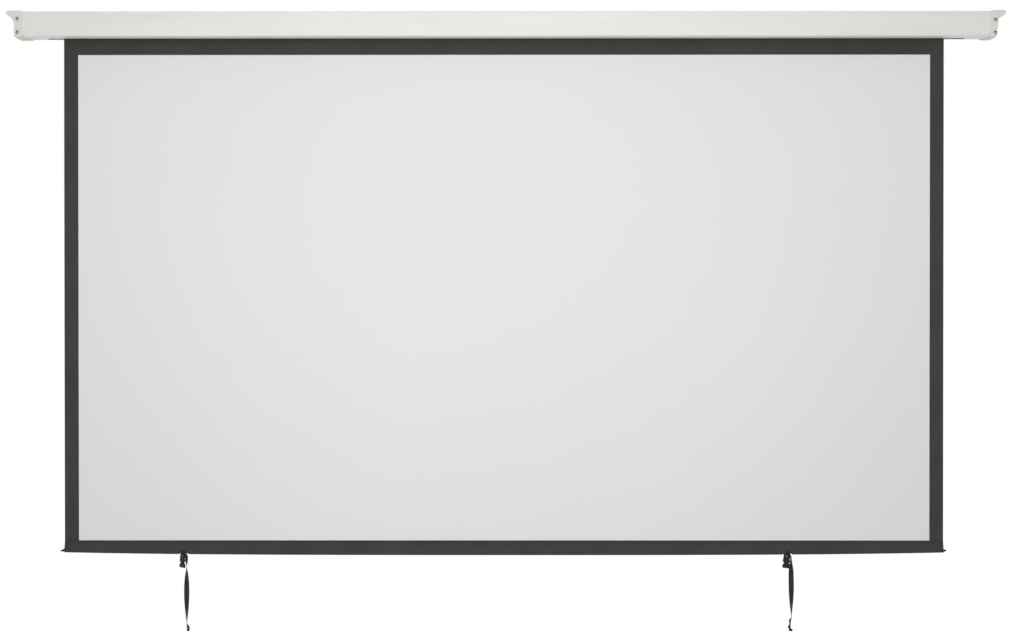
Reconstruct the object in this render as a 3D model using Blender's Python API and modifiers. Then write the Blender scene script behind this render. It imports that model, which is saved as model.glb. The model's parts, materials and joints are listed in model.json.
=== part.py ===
"""Motorized projector screen with a casing, a motor driven roller, a tensioned sheet and carrying straps.

Metres. The origin is the centre of the casing's flat back. +X runs to the motor end, +Y to the wall, +Z up.
"""

import math

import bmesh
import bpy
from mathutils import Matrix, Vector

# Clearance between pieces that touch or turn in one another
GAP = 0.0003

# Casing extrusion, half as long as CASE_HALF says on either side of the middle
CASE_HALF = 1.253
CASE_HIGH = 0.064
CASE_DEEP = 0.062
CASE_WALL = 0.001
CASE_NOSE = 0.008
CASE_EDGE = 0.002
CASE_TOP = CASE_HIGH / 2

# End caps
RIM = 0.0063
TONGUE = 0.0137
TONGUE_DEEP = 0.012
CAP_OVER = 0.0022
CAP_UNDER = 0.0024
CAP_FORWARD = 0.0015
CAP_NOSE = 0.007
CAP_HOLLOW = 0.0088
CAP_FOOT_IN = 0.002
CAP_FOOT_UP = 0.015
CAP_FACE = 0.007
CAP_WALL = 0.003
EAR_HOLE_OUT = 0.0225
EAR_HOLE_R = 0.0025
EAR_HOLE_DEEP = 0.0282
EAR_HOLE_BACK = 0.016
EAR_HOLE_APART = 0.032
SEAM = CASE_HALF - RIM
TONGUE_END = SEAM - TONGUE
CAP_TOP = CASE_TOP + CAP_OVER
CAP_BOTTOM = -CASE_TOP - CAP_UNDER
CAP_FRONT = -CASE_DEEP - CAP_FORWARD
CAP_CAVITY_END = CASE_HALF + CAP_HOLLOW
CAP_CAVITY_FRONT = CAP_FRONT + CAP_FACE
CAP_CAVITY_BACK = -CAP_WALL
CAP_CAVITY_HALF = CASE_TOP - CAP_WALL
EAR_HOLE_X = CASE_HALF + EAR_HOLE_OUT
EAR_HOLE_YS = (-EAR_HOLE_BACK, -EAR_HOLE_BACK - EAR_HOLE_APART)

# Screws that hold each cap to the bracket behind it
CAP_SCREW_OUT = 0.0044
CAP_SCREW_DROPS = {"left": (0.019, 0.0535), "right": (0.0225, 0.0563)}
CAP_SCREW_SUNK = 0.0045
CAP_SCREW_SINK_R = 0.00375
CAP_SCREW_HEAD_R = 0.00325
CAP_SCREW_HEAD = 0.0018
CAP_SCREW_SHANK_R = 0.0017
CAP_SCREW_SHANK = 0.0085
CAP_SCREW_X = CASE_HALF + CAP_SCREW_OUT
CAP_SCREW_ZS = {side: [CASE_TOP - drop for drop in drops] for side, drops in CAP_SCREW_DROPS.items()}
CAP_SCREW_FLOOR = CAP_FRONT + CAP_SCREW_SUNK

# Brackets
PLATE_SET = 0.0004
PLATE_THICK = 0.0022
PLATE_EDGE = 0.0006
FLANGE_LONG = 0.0224
FLANGE_THICK = 0.0018
FLANGE_FRONT = 0.008
FLANGE_BACK = 0.010
TAB_LONG = 0.0086
TAB_THICK = 0.0018
TAB_EDGES = (0.0035, 0.012)
CASE_SCREW_SET = 0.0124
CASE_SCREW_BACK = 0.020
CASE_SCREW_APART = 0.024
CASE_SCREW_HEAD_R = 0.0028
CASE_SCREW_HEAD = 0.0014
CASE_SCREW_SHANK_R = 0.0014
CASE_SCREW_SHANK = 0.006
PLATE_OUT = CASE_HALF - PLATE_SET
PLATE_IN = PLATE_OUT - PLATE_THICK
FLANGE_IN = PLATE_IN - FLANGE_LONG
FLANGE_YS = (-CASE_DEEP + FLANGE_FRONT, -FLANGE_BACK)
TAB_OUT = PLATE_OUT + TAB_LONG
TAB_ZS = (-CASE_TOP + TAB_EDGES[0], CASE_TOP - TAB_EDGES[1])
CASE_SCREW_X = PLATE_IN - CASE_SCREW_SET
CASE_SCREW_YS = (-CASE_SCREW_BACK, -CASE_SCREW_BACK - CASE_SCREW_APART)

# Sheet
SHEET_Y = -0.014
SHEET_INSET = 0.1095
SHEET_SHIFT = -0.0064
SHEET_THICK = 0.0004
SHEET_TOP = 0.0
SHEET_BOTTOM = -1.350
VIEW_SHIFT = 0.0005
SIDE_BORDER = 0.0365
TOP_BORDER = 0.0734
BOTTOM_BORDER = 0.0135
VIEW_THICK = 0.0003
SHEET_HALF = CASE_HALF - SHEET_INSET
SHEET_MID = SHEET_SHIFT
SHEET_LEFT = SHEET_MID - SHEET_HALF
SHEET_RIGHT = SHEET_MID + SHEET_HALF
VIEW_X = SHEET_MID + VIEW_SHIFT
VIEW_WIDE = 2 * (SHEET_HALF - SIDE_BORDER)
VIEW_TOP = SHEET_TOP - TOP_BORDER
VIEW_BOTTOM = SHEET_BOTTOM + BOTTOM_BORDER

# Roller
TUBE_R = 0.019
TUBE_WALL = 0.001
WRAP_THICK = 0.0008
WRAP_SPACE = 0.0003
TUBE_INSET = 0.0604
FLANGE_OVER = 0.0016
PLUG_FLANGE = 0.0047
PLUG_DEEP = 0.022
IDLER_PIN_R = 0.004
IDLER_PIN_OVER = 0.0034
IDLER_PIN_DEEP = 0.014
BUSH_R = 0.008
BUSH_FLANGE_R = 0.011
BUSH_FLANGE = 0.0021
BUSH_BACK = 0.0032
TUBE_BORE = TUBE_R - TUBE_WALL
FLANGE_R = TUBE_R + FLANGE_OVER
ROLL_Y = SHEET_Y - SHEET_THICK / 2 - WRAP_SPACE - WRAP_THICK - GAP - TUBE_R
TUBE_LEFT = TUBE_INSET - PLATE_IN
IDLER_PIN_OUT = -PLATE_OUT - IDLER_PIN_OVER
IDLER_PIN_IN = TUBE_LEFT + IDLER_PIN_DEEP

# Slot in the casing's underside
SLOT_INSET = 0.0594
SLOT_WIDE = 0.018
SLOT_HALF = PLATE_IN - SLOT_INSET
SLOT_FRONT = SHEET_Y - SLOT_WIDE / 2
SLOT_BACK = SHEET_Y + SLOT_WIDE / 2

# Motor
MOTOR_PLAY = 0.0005
HEAD_OVER = 0.002
HEAD_LONG = 0.030
PIN_LONG = 0.0224
MOTOR_LONG = 0.4927
CROWN_LONG = 0.0112
CROWN_SPACE = 0.013
SHAFT_R = 0.0045
SHAFT_IN = 0.007
SHAFT_OUT = 0.037
WHEEL_OFF = 0.015
WHEEL_LONG = 0.018
PIN_SIDE = 0.010
PIN_TIP_R = 0.0048
PIN_GROOVE_R = 0.0038
PIN_GROOVE = 0.0014
PIN_TIP = 0.003
CLIP_R = 0.0075
CLIP_THICK = 0.0008
LIMIT_OFFSETS = (0.008, 0.019)
LIMIT_HEAD_R = 0.0022
LIMIT_SHANK_R = 0.0014
LIMIT_SINK = 0.0023
LIMIT_DEEP = 0.009
LIMIT_ACCESS_R = 0.003
HEAD_R = TUBE_R + HEAD_OVER
MOTOR_R = TUBE_BORE - MOTOR_PLAY
HEAD_END = PLATE_IN - PIN_LONG
HEAD_START = HEAD_END - HEAD_LONG
MOTOR_END = HEAD_START - GAP
MOTOR_START = MOTOR_END - MOTOR_LONG
TUBE_RIGHT = HEAD_START - CROWN_SPACE
SHAFT_START = MOTOR_START - SHAFT_OUT
SHAFT_END = MOTOR_START + SHAFT_IN
WHEEL_END = MOTOR_START - WHEEL_OFF
WHEEL_START = WHEEL_END - WHEEL_LONG
LIMIT_XS = tuple(HEAD_START + offset for offset in LIMIT_OFFSETS)

# Cable gland in the casing's top
GLAND_OFFSET = 0.015
GLAND_BACK = 0.0125
GLAND_R = 0.0049
GLAND_FLANGE_R = 0.008
GLAND_FLANGE = 0.0013
GLAND_BORE_R = 0.0035
GLAND_DEEP = 0.0045
GLAND_X = HEAD_START + GLAND_OFFSET
GLAND_Y = -GLAND_BACK

# Weight bar and its hem
BAR_DEEP = 0.012
BAR_HIGH = 0.008
BAR_ROUND = 0.0038
HEM_WALL = 0.0005
HEM_DROP = 0.0164
HEM_NECK = 0.0012
BOW = 0.007
BOW_STEPS = 16
TIP_LONG = {"left": 0.0105, "right": 0.0073}
TIP_PEG_R = 0.002
TIP_PEG = 0.012
HEM_BOTTOM = SHEET_BOTTOM - HEM_DROP
HEM_TOP = HEM_BOTTOM + 2 * HEM_WALL + 2 * GAP + BAR_HIGH
BAR_Z = (HEM_TOP + HEM_BOTTOM) / 2

# Straps, each at its share of the way from the sheet's middle to its edge
STRAP_SHARES = {"left": -0.72811, "right": 0.646}
WEB_WIDE = 0.0135
WEB_THICK = 0.001
LOOP_WIDE = 0.0118
TAIL_LONG = 0.212
TAIL_STEPS = 18
TAIL_START = {"left": 0.0265, "right": 0.0155}
TAIL_TURN = {"left": 0.144, "right": 0.142}
TAB_DROP = 0.009
STRAP_X = {side: SHEET_MID + share * SHEET_HALF for side, share in STRAP_SHARES.items()}

# Buckles
BUCKLE_TURN = math.radians(-50)
BUCKLE_SHIFT = -0.0046
BUCKLE_HALF = 0.0023
CROSSBAR_R = 0.0013
RAIL = 0.0013
NECK_HALF = 0.0075
BULGE_HALF = 0.0105
WAIST_HALF = 0.0064
WINDOW_DROP = 0.0034
BULGE_DROP = 0.0155
MOUTH_DROP = 0.0213
BASE_DROP = 0.0270
BUCKLE_DROP = 0.0333
POCKET_HALF = 0.0052
POCKET_THICK = 0.0026
PRONG_WIDE = 0.0022
PRONG_TOP_DROP = 0.0095

for thing in list(bpy.data.objects):
    bpy.data.objects.remove(thing)

scene = bpy.context.scene
screen = bpy.data.collections.new("projector_screen")
cutters = bpy.data.collections.new("cutters")
cutters.hide_render = True
scene.collection.children.link(screen)
scene.collection.children.link(cutters)


def finish(name, colour, roughness, metallic):
    """One surface with a colour, a roughness and a metallic value."""
    surface = bpy.data.materials.new(name)
    surface.use_nodes = True
    shader = surface.node_tree.nodes["Principled BSDF"]
    shader.inputs["Base Color"].default_value = (*colour, 1)
    shader.inputs["Roughness"].default_value = roughness
    shader.inputs["Metallic"].default_value = metallic
    return surface


PAINT = ((0.78, 0.79, 0.77), 0.42, 0.1)
SHELL_PLASTIC = ((0.70, 0.68, 0.67), 0.6, 0.0)
DARK_PLASTIC = ((0.03, 0.03, 0.03), 0.5, 0.0)
BLACK_CLOTH = ((0.045, 0.042, 0.04), 0.85, 0.0)
WHITE_CLOTH = ((0.76, 0.76, 0.75), 0.9, 0.0)
ALUMINIUM = ((0.75, 0.76, 0.78), 0.35, 1.0)
STEEL = ((0.55, 0.55, 0.56), 0.35, 1.0)
WHITE_PLASTIC = ((0.8, 0.8, 0.78), 0.5, 0.0)


def place(name, mesh, at=(0, 0, 0), look=None, smooth=False):
    """A named object holding the mesh, among the solids if it has a look and among the cutters if not."""
    obj = bpy.data.objects.new(name, mesh)
    obj.location = at
    if look is None:
        obj.hide_render = True
        obj.display_type = "WIRE"
        cutters.objects.link(obj)
    else:
        mesh.materials.append(finish(name + "_finish", *look))
        screen.objects.link(obj)
    for face in mesh.polygons:
        face.use_smooth = smooth
    return obj


def fillet(before, corner, after, radius, steps):
    """Points of the arc that rounds one corner of an outline."""
    if radius <= 0:
        return [tuple(corner)]
    into = (before - corner).normalized()
    out = (after - corner).normalized()
    half = into.angle(out) / 2
    reach = radius / math.tan(half)
    start = corner + into * reach
    middle = corner + (into + out).normalized() * (radius / math.sin(half))
    end = corner + out * reach
    first = start - middle
    last = end - middle
    sweep = first.angle_signed(last)
    points = []
    for step in range(steps + 1):
        turn = -sweep * step / steps
        points.append(tuple(middle + Matrix.Rotation(turn, 2) @ first))
    return points


def rounded(corners, steps=4):
    """An outline through (across, up, radius) corners, each rounded by its radius."""
    spots = [Vector((across, up)) for across, up, _ in corners]
    points = []
    for index, spot in enumerate(spots):
        after = spots[(index + 1) % len(spots)]
        points += fillet(spots[index - 1], spot, after, corners[index][2], steps)
    return points


def block(low, high, radius, steps=4):
    """A rectangle outline with equal round corners."""
    corners = [(low[0], low[1], radius), (high[0], low[1], radius)]
    corners += [(high[0], high[1], radius), (low[0], high[1], radius)]
    return rounded(corners, steps)


AXES = {
    "X": Matrix(((0, 0, 1), (1, 0, 0), (0, 1, 0))),
    "Y": Matrix(((1, 0, 0), (0, 0, -1), (0, 1, 0))),
    "Z": Matrix.Identity(3),
}


def prism(name, outlines, span, axis, look=None, at=(0, 0, 0)):
    """A solid of constant section: filled outlines drawn across the axis and extruded over its span."""
    curve = bpy.data.curves.new(name + "_outline", "CURVE")
    curve.dimensions = "2D"
    curve.fill_mode = "BOTH"
    curve.extrude = abs(span[1] - span[0]) / 2
    for outline in outlines:
        spline = curve.splines.new("POLY")
        spline.points.add(len(outline) - 1)
        for point, spot in zip(spline.points, outline):
            point.co = (*spot, 0, 1)
        spline.use_cyclic_u = True
    drawn = bpy.data.objects.new(name + "_outline", curve)
    cutters.objects.link(drawn)
    bpy.context.view_layer.update()
    graph = bpy.context.evaluated_depsgraph_get()
    mesh = bpy.data.meshes.new_from_object(drawn.evaluated_get(graph))
    bpy.data.objects.remove(drawn)
    shape = bmesh.new()
    shape.from_mesh(mesh)
    bmesh.ops.remove_doubles(shape, verts=shape.verts, dist=1e-6)
    middle = AXES[axis] @ Vector((0, 0, (span[0] + span[1]) / 2))
    if axis == "Y":
        middle = Vector((0, (span[0] + span[1]) / 2, 0))
    move = Matrix.Translation(middle) @ AXES[axis].to_4x4()
    bmesh.ops.transform(shape, matrix=move, verts=shape.verts)
    bmesh.ops.recalc_face_normals(shape, faces=shape.faces)
    shape.to_mesh(mesh)
    shape.free()
    return place(name, mesh, at, look)


def box(name, low, high, look=None):
    """A box between two corners, with its origin in the middle."""
    sides = [b - a for a, b in zip(low, high)]
    middle = [(a + b) / 2 for a, b in zip(low, high)]
    mesh = bpy.data.meshes.new(name)
    shape = bmesh.new()
    bmesh.ops.create_cube(shape, size=1, matrix=Matrix.Diagonal((*sides, 1)))
    shape.to_mesh(mesh)
    shape.free()
    return place(name, mesh, middle, look)


TURNS = {
    "X": (0, math.pi / 2, 0),
    "-X": (0, -math.pi / 2, 0),
    "-Y": (math.pi / 2, 0, 0),
    "Z": (0, 0, 0),
    "-Z": (math.pi, 0, 0),
}


def turned(name, profile, at, axis, look=None, steps=28):
    """A turned solid: the (radius, height) profile runs down its outer side and is spun about the axis."""
    mesh = bpy.data.meshes.new(name)
    shape = bmesh.new()
    spots = [shape.verts.new((radius, 0, height)) for radius, height in profile]
    for first, second in zip(spots, spots[1:]):
        shape.edges.new((first, second))
    if profile[0][0] > 0:
        shape.edges.new((spots[-1], spots[0]))
    shape.to_mesh(mesh)
    shape.free()
    obj = place(name, mesh, at, look)
    obj.rotation_euler = TURNS[axis]
    spin = obj.modifiers.new("spin", "SCREW")
    spin.axis = "Z"
    spin.angle = 2 * math.pi
    spin.steps = steps
    spin.render_steps = steps
    spin.use_merge_vertices = True
    spin.merge_threshold = 1e-6
    spin.use_smooth_shade = look is not None
    return obj


def rod(name, radius, long, at, axis, look=None, steps=28):
    """A plain round bar that starts at a point and runs along the axis."""
    profile = [(0, long), (radius, long), (radius, 0), (0, 0)]
    return turned(name, profile, at, axis, look, steps)


def ring(name, inner, outer, long, at, axis, look=None, steps=28):
    """A plain tube that starts at a point and runs along the axis."""
    profile = [(outer, long), (outer, 0), (inner, 0), (inner, long)]
    return turned(name, profile, at, axis, look, steps)


def combine(obj, other, operation):
    """Adds one exact Boolean of a cutter or of a second shape."""
    step = obj.modifiers.new(operation.lower(), "BOOLEAN")
    step.operation = operation
    step.solver = "EXACT"
    step.object = other
    return obj


def body(name, at):
    """The empty that stands on a moving body's axis."""
    axis = bpy.data.objects.new(name, None)
    axis.location = at
    axis.empty_display_size = 0.02
    screen.objects.link(axis)
    return axis


def carry(axis, pieces):
    """Hangs the pieces on a body's empty and keeps them where they are."""
    bpy.context.view_layer.update()
    for piece in pieces:
        piece.parent = axis
        piece.matrix_parent_inverse = axis.matrix_world.inverted()


def case_outline(grow):
    """The casing's section in Y and Z, grown outwards by an amount."""
    front = -CASE_DEEP - grow
    top = CASE_TOP + grow
    nose = CASE_NOSE + grow
    edge = max(CASE_EDGE + grow, 0.0006)
    corners = [(front, -top, nose), (grow, -top, edge), (grow, top, edge)]
    corners += [(front, top, edge)]
    return rounded(corners)


# Casing
casing = prism(
    "casing_shell",
    [case_outline(0), case_outline(-CASE_WALL)],
    (-CASE_HALF, CASE_HALF),
    "X",
    PAINT,
)
slot = box(
    "slot_cut",
    (-SLOT_HALF, SLOT_FRONT, -CASE_TOP - 0.002),
    (SLOT_HALF, SLOT_BACK, -CASE_TOP + 0.004),
)
combine(casing, slot, "DIFFERENCE")
for number, x in enumerate(LIMIT_XS, 1):
    access = rod(
        f"access_cut_{number}",
        LIMIT_ACCESS_R,
        0.006,
        (x, ROLL_Y, -CASE_TOP - 0.002),
        "Z",
        steps=20,
    )
    combine(casing, access, "DIFFERENCE")
gland_hole = rod(
    "gland_cut", GLAND_R + GAP, 0.006, (GLAND_X, GLAND_Y, CASE_TOP - 0.003), "Z"
)
combine(casing, gland_hole, "DIFFERENCE")

GLAND_TOP = CASE_TOP + GAP + GLAND_FLANGE
turned(
    "cable_gland",
    [
        (GLAND_FLANGE_R, 0),
        (GLAND_FLANGE_R, -GLAND_FLANGE),
        (GLAND_R, -GLAND_FLANGE),
        (GLAND_R, -GLAND_FLANGE - GLAND_DEEP),
        (GLAND_BORE_R, -GLAND_FLANGE - GLAND_DEEP),
        (GLAND_BORE_R, 0),
    ],
    (GLAND_X, GLAND_Y, GLAND_TOP),
    "Z",
    DARK_PLASTIC,
)

# End caps: each point of their outer edge by its way past the casing's end, its height and its radius
EARS = {
    "left": (
        (0.0098, CAP_BOTTOM, 0.005),
        (0.0113, CAP_TOP - 0.0542, 0),
        (0.0127, CAP_TOP - 0.0355, 0),
        (0.0147, CAP_TOP - 0.0267, 0),
        (0.0181, CAP_TOP - 0.0198, 0),
        (0.0240, CAP_TOP - 0.0149, 0),
        (0.0304, CAP_TOP - 0.0108, 0.001),
        (0.0326, CAP_TOP - 0.0074, 0.001),
        (0.0316, CAP_TOP, 0.005),
    ),
    "right": (
        (0.0076, CAP_BOTTOM, 0.004),
        (0.0108, CAP_TOP - 0.0435, 0),
        (0.0126, CAP_TOP - 0.0278, 0),
        (0.0135, CAP_TOP - 0.0206, 0.002),
        (0.0185, CAP_TOP - 0.0172, 0),
        (0.0303, CAP_TOP - 0.0116, 0.002),
        (0.0326, CAP_TOP - 0.0057, 0.001),
        (0.0316, CAP_TOP, 0.0048),
    ),
}
EAR_END = CASE_HALF + 0.0326
SIGN = {"left": -1, "right": 1}


def mirrored(points, sign):
    """The points on the given side, in an order that keeps the outline turning the same way."""
    flipped = [(sign * first[0], *first[1:]) for first in points]
    return flipped if sign > 0 else flipped[::-1]


def cap_profile():
    """The caps' section in Y and Z."""
    corners = [(CAP_FRONT, CAP_BOTTOM, CAP_NOSE), (0, CAP_BOTTOM, 0.001)]
    corners += [(0, CAP_TOP, 0.001), (CAP_FRONT, CAP_TOP, 0.0025)]
    return rounded(corners, 5)


def narrow_foot(sign, near, far, heights):
    """An upright outline inside a cap, drawn in at its foot because the cap's outer wall leans in there."""
    low, high = heights
    corners = [(near, low, 0), (far - CAP_FOOT_IN, low, 0), (far, low + CAP_FOOT_UP, 0)]
    corners += [(far, high, 0), (near, high, 0)]
    return rounded(mirrored(corners, sign))


def end_cap(side):
    """A moulded cap that sleeves over the casing, with its ear, tongue, screw recesses and hollow inside."""
    sign = SIGN[side]
    under = -CASE_TOP - GAP
    corners = [(TONGUE_END, CAP_BOTTOM, 0.0008)]
    corners += [(CASE_HALF + out, height, radius) for out, height, radius in EARS[side]]
    corners += [(SEAM, CAP_TOP, 0.0006), (SEAM, under, 0), (TONGUE_END, under, 0)]
    outline = rounded(mirrored(corners, sign), 4)
    cap = prism(f"{side}_end_cap", [outline], (CAP_FRONT, 0), "Y", SHELL_PLASTIC)
    shell = prism(
        f"{side}_cap_profile",
        [cap_profile()],
        sorted((sign * (TONGUE_END - TONGUE), sign * (EAR_END + TONGUE))),
        "X",
    )
    combine(cap, shell, "INTERSECT")
    socket = prism(
        f"{side}_cap_socket",
        [socket_outline()],
        sorted((sign * (TONGUE_END - TONGUE), sign * (CASE_HALF + GAP))),
        "X",
    )
    combine(cap, socket, "DIFFERENCE")
    notch = box(
        f"{side}_tongue_cut",
        (min(sign * SEAM, sign * (TONGUE_END - RIM)), CAP_FRONT - RIM, CAP_BOTTOM - RIM),
        (max(sign * SEAM, sign * (TONGUE_END - RIM)), -TONGUE_DEEP, -CASE_TOP + CAP_UNDER),
    )
    combine(cap, notch, "DIFFERENCE")
    hollow = prism(
        f"{side}_cap_hollow",
        [narrow_foot(sign, CASE_HALF - CAP_WALL, CAP_CAVITY_END, (-CAP_CAVITY_HALF, CAP_CAVITY_HALF))],
        (CAP_CAVITY_FRONT, CAP_CAVITY_BACK),
        "Y",
    )
    combine(cap, hollow, "DIFFERENCE")
    for number, y in enumerate(EAR_HOLE_YS, 1):
        hole = rod(
            f"{side}_ear_cut_{number}",
            EAR_HOLE_R,
            EAR_HOLE_DEEP + GAP,
            (sign * EAR_HOLE_X, y, CAP_TOP - EAR_HOLE_DEEP),
            "Z",
            steps=20,
        )
        combine(cap, hole, "DIFFERENCE")
    for level, z in zip(("upper", "lower"), CAP_SCREW_ZS[side]):
        sink = turned(
            f"{side}_{level}_sink_cut",
            [
                (0, 0.006),
                (CAP_SCREW_SINK_R, 0.006),
                (CAP_SCREW_SINK_R, 0),
                (CAP_SCREW_SHANK_R + GAP, 0),
                (CAP_SCREW_SHANK_R + GAP, -0.004),
                (0, -0.004),
            ],
            (sign * CAP_SCREW_X, CAP_SCREW_FLOOR, z),
            "-Y",
            steps=24,
        )
        combine(cap, sink, "DIFFERENCE")
    return cap


def socket_outline():
    """The space for the casing inside a cap, open at the back."""
    front = -CASE_DEEP - GAP
    top = CASE_TOP + GAP
    corners = [(front, -top, CASE_NOSE), (0.004, -top, 0), (0.004, top, 0)]
    corners += [(front, top, CASE_EDGE)]
    return rounded(corners)


def cross_cut(obj, name, at, wide, long, deep, flat):
    """Two crossed slots in a screw head, cut along the direction that the head faces."""
    for number, turn in enumerate((0, math.pi / 2)):
        arm = box(f"{name}_{number}", (-long, -wide, -deep), (long, wide, deep))
        arm.location = at
        arm.rotation_euler = (flat, turn, 0) if flat else (0, 0, turn)
        combine(obj, arm, "DIFFERENCE")


def pan_screw(name, at, axis, sizes, look=STEEL):
    """A pan head screw whose head rests at a point and whose shank runs the other way."""
    head_r, head, shank_r, shank = sizes
    profile = [
        (0, head),
        (head_r * 0.62, head),
        (head_r, head * 0.5),
        (head_r, 0),
        (shank_r, 0),
        (shank_r, -shank * 0.85),
        (shank_r * 0.35, -shank),
        (0, -shank),
    ]
    return turned(name, profile, at, axis, look, steps=20)


for side in ("left", "right"):
    end_cap(side)
    for level, z in zip(("upper", "lower"), CAP_SCREW_ZS[side]):
        seat = CAP_SCREW_FLOOR - GAP
        spot = (SIGN[side] * CAP_SCREW_X, seat, z)
        sizes = (CAP_SCREW_HEAD_R, CAP_SCREW_HEAD, CAP_SCREW_SHANK_R, CAP_SCREW_SHANK)
        screw = pan_screw(f"{side}_cap_screw_{level}", spot, "-Y", sizes)
        top = (spot[0], seat - CAP_SCREW_HEAD, z)
        cross_cut(
            screw,
            f"{side}_{level}_cross",
            top,
            0.00035,
            0.0016,
            0.0009,
            math.pi / 2,
        )


def bracket(side, name, hole):
    """A folded plate inside the casing's end, with a flange under the top and a tab behind the cap screws."""
    sign = SIGN[side]
    low = -CASE_TOP + CASE_WALL + PLATE_EDGE
    front = -CASE_DEEP + CASE_WALL + PLATE_EDGE
    back = -CASE_WALL - PLATE_EDGE
    corners = [(front, low, CASE_NOSE), (back, low, 0.001)]
    corners += [(back, -low, 0.001), (front, -low, 0.001)]
    span = sorted((sign * PLATE_IN, sign * PLATE_OUT))
    plate = prism(name, [rounded(corners)], span, "X", STEEL)
    ceiling = CASE_TOP - CASE_WALL - GAP
    xs = sorted((sign * FLANGE_IN, sign * (PLATE_IN + 0.0005)))
    flange = box(
        f"{side}_flange",
        (xs[0], FLANGE_YS[0], ceiling - FLANGE_THICK),
        (xs[1], FLANGE_YS[1], ceiling),
    )
    combine(plate, flange, "UNION")
    tab_front = CAP_CAVITY_FRONT + GAP
    tab = prism(
        f"{side}_tab",
        [narrow_foot(sign, PLATE_OUT - 0.0005, TAB_OUT, TAB_ZS)],
        (tab_front, tab_front + TAB_THICK),
        "Y",
    )
    combine(plate, tab, "UNION")
    combine(plate, hole, "DIFFERENCE")
    for number, z in enumerate(CAP_SCREW_ZS[side], 1):
        pilot = rod(
            f"{side}_pilot_{number}",
            CAP_SCREW_SHANK_R + GAP,
            0.008,
            (sign * CAP_SCREW_X, tab_front + 0.005, z),
            "-Y",
            steps=20,
        )
        combine(plate, pilot, "DIFFERENCE")
    for number, y in enumerate(CASE_SCREW_YS, 1):
        spot = (sign * CASE_SCREW_X, y, CASE_TOP + GAP)
        pilot = rod(
            f"{side}_top_pilot_{number}",
            CASE_SCREW_SHANK_R + GAP,
            0.008,
            (spot[0], y, CASE_TOP - 0.006),
            "Z",
            steps=20,
        )
        combine(plate, pilot, "DIFFERENCE")
        combine(casing, pilot, "DIFFERENCE")
        sizes = (
            CASE_SCREW_HEAD_R,
            CASE_SCREW_HEAD,
            CASE_SCREW_SHANK_R,
            CASE_SCREW_SHANK,
        )
        screw = pan_screw(f"{side}_bracket_screw_{number}", spot, "Z", sizes)
        top = (spot[0], y, spot[2] + CASE_SCREW_HEAD)
        cross_cut(screw, f"{side}_top_cross_{number}", top, 0.0003, 0.0014, 0.0007, 0)
    return plate


# Idler end
bush_hole = rod(
    "bush_cut", BUSH_R + GAP, 0.008, (-PLATE_OUT - 0.003, ROLL_Y, 0), "X"
)
bracket("left", "idler_bracket", bush_hole)
BUSH_SEAT = -PLATE_IN + GAP
turned(
    "idler_bearing",
    [
        (BUSH_FLANGE_R, BUSH_FLANGE),
        (BUSH_FLANGE_R, 0),
        (BUSH_R, 0),
        (BUSH_R, -BUSH_BACK),
        (IDLER_PIN_R + GAP, -BUSH_BACK),
        (IDLER_PIN_R + GAP, BUSH_FLANGE),
    ],
    (BUSH_SEAT, ROLL_Y, 0),
    "X",
    WHITE_PLASTIC,
)

# Motor end
pin_hole = box(
    "pin_cut",
    (PLATE_IN - 0.003, ROLL_Y - PIN_SIDE / 2 - GAP, -PIN_SIDE / 2 - GAP),
    (PLATE_OUT + 0.003, ROLL_Y + PIN_SIDE / 2 + GAP, PIN_SIDE / 2 + GAP),
)
bracket("right", "motor_bracket", pin_hole)

motor = rod(
    "motor_tube",
    MOTOR_R,
    MOTOR_END - MOTOR_START,
    (MOTOR_START, ROLL_Y, 0),
    "X",
    STEEL,
)
gearbox_bore = rod(
    "gearbox_cut",
    SHAFT_R + GAP,
    SHAFT_END - MOTOR_START + 0.003,
    (MOTOR_START - 0.001, ROLL_Y, 0),
    "X",
    steps=20,
)
combine(motor, gearbox_bore, "DIFFERENCE")

head = turned(
    "motor_head",
    [
        (0, HEAD_END - HEAD_START),
        (HEAD_R - 0.0015, HEAD_END - HEAD_START),
        (HEAD_R, HEAD_END - HEAD_START - 0.0015),
        (HEAD_R, 0.0008),
        (HEAD_R - 0.0008, 0),
        (0, 0),
    ],
    (HEAD_START, ROLL_Y, 0),
    "X",
    DARK_PLASTIC,
    steps=32,
)
LIMIT_SEAT = -HEAD_R + LIMIT_SINK
for number, x in enumerate(LIMIT_XS, 1):
    sink = turned(
        f"limit_cut_{number}",
        [
            (0, LIMIT_SINK + 0.003),
            (LIMIT_HEAD_R + GAP, LIMIT_SINK + 0.003),
            (LIMIT_HEAD_R + GAP, 0),
            (LIMIT_SHANK_R + GAP, 0),
            (LIMIT_SHANK_R + GAP, -LIMIT_DEEP),
            (0, -LIMIT_DEEP),
        ],
        (x, ROLL_Y, LIMIT_SEAT),
        "-Z",
        steps=20,
    )
    combine(head, sink, "DIFFERENCE")
    axis = body(f"limit_axis_{number}", (x, ROLL_Y, LIMIT_SEAT))
    sizes = (LIMIT_HEAD_R, 0.0016, LIMIT_SHANK_R, LIMIT_DEEP - 0.002)
    seat = LIMIT_SEAT - GAP
    screw = pan_screw(f"limit_screw_{number}", (x, ROLL_Y, seat), "-Z", sizes)
    groove = box(
        f"limit_slot_{number}",
        (x - 0.003, ROLL_Y - 0.0003, seat - 0.003),
        (x + 0.003, ROLL_Y + 0.0003, seat - 0.0008),
    )
    combine(screw, groove, "DIFFERENCE")
    carry(axis, [screw])

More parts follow.
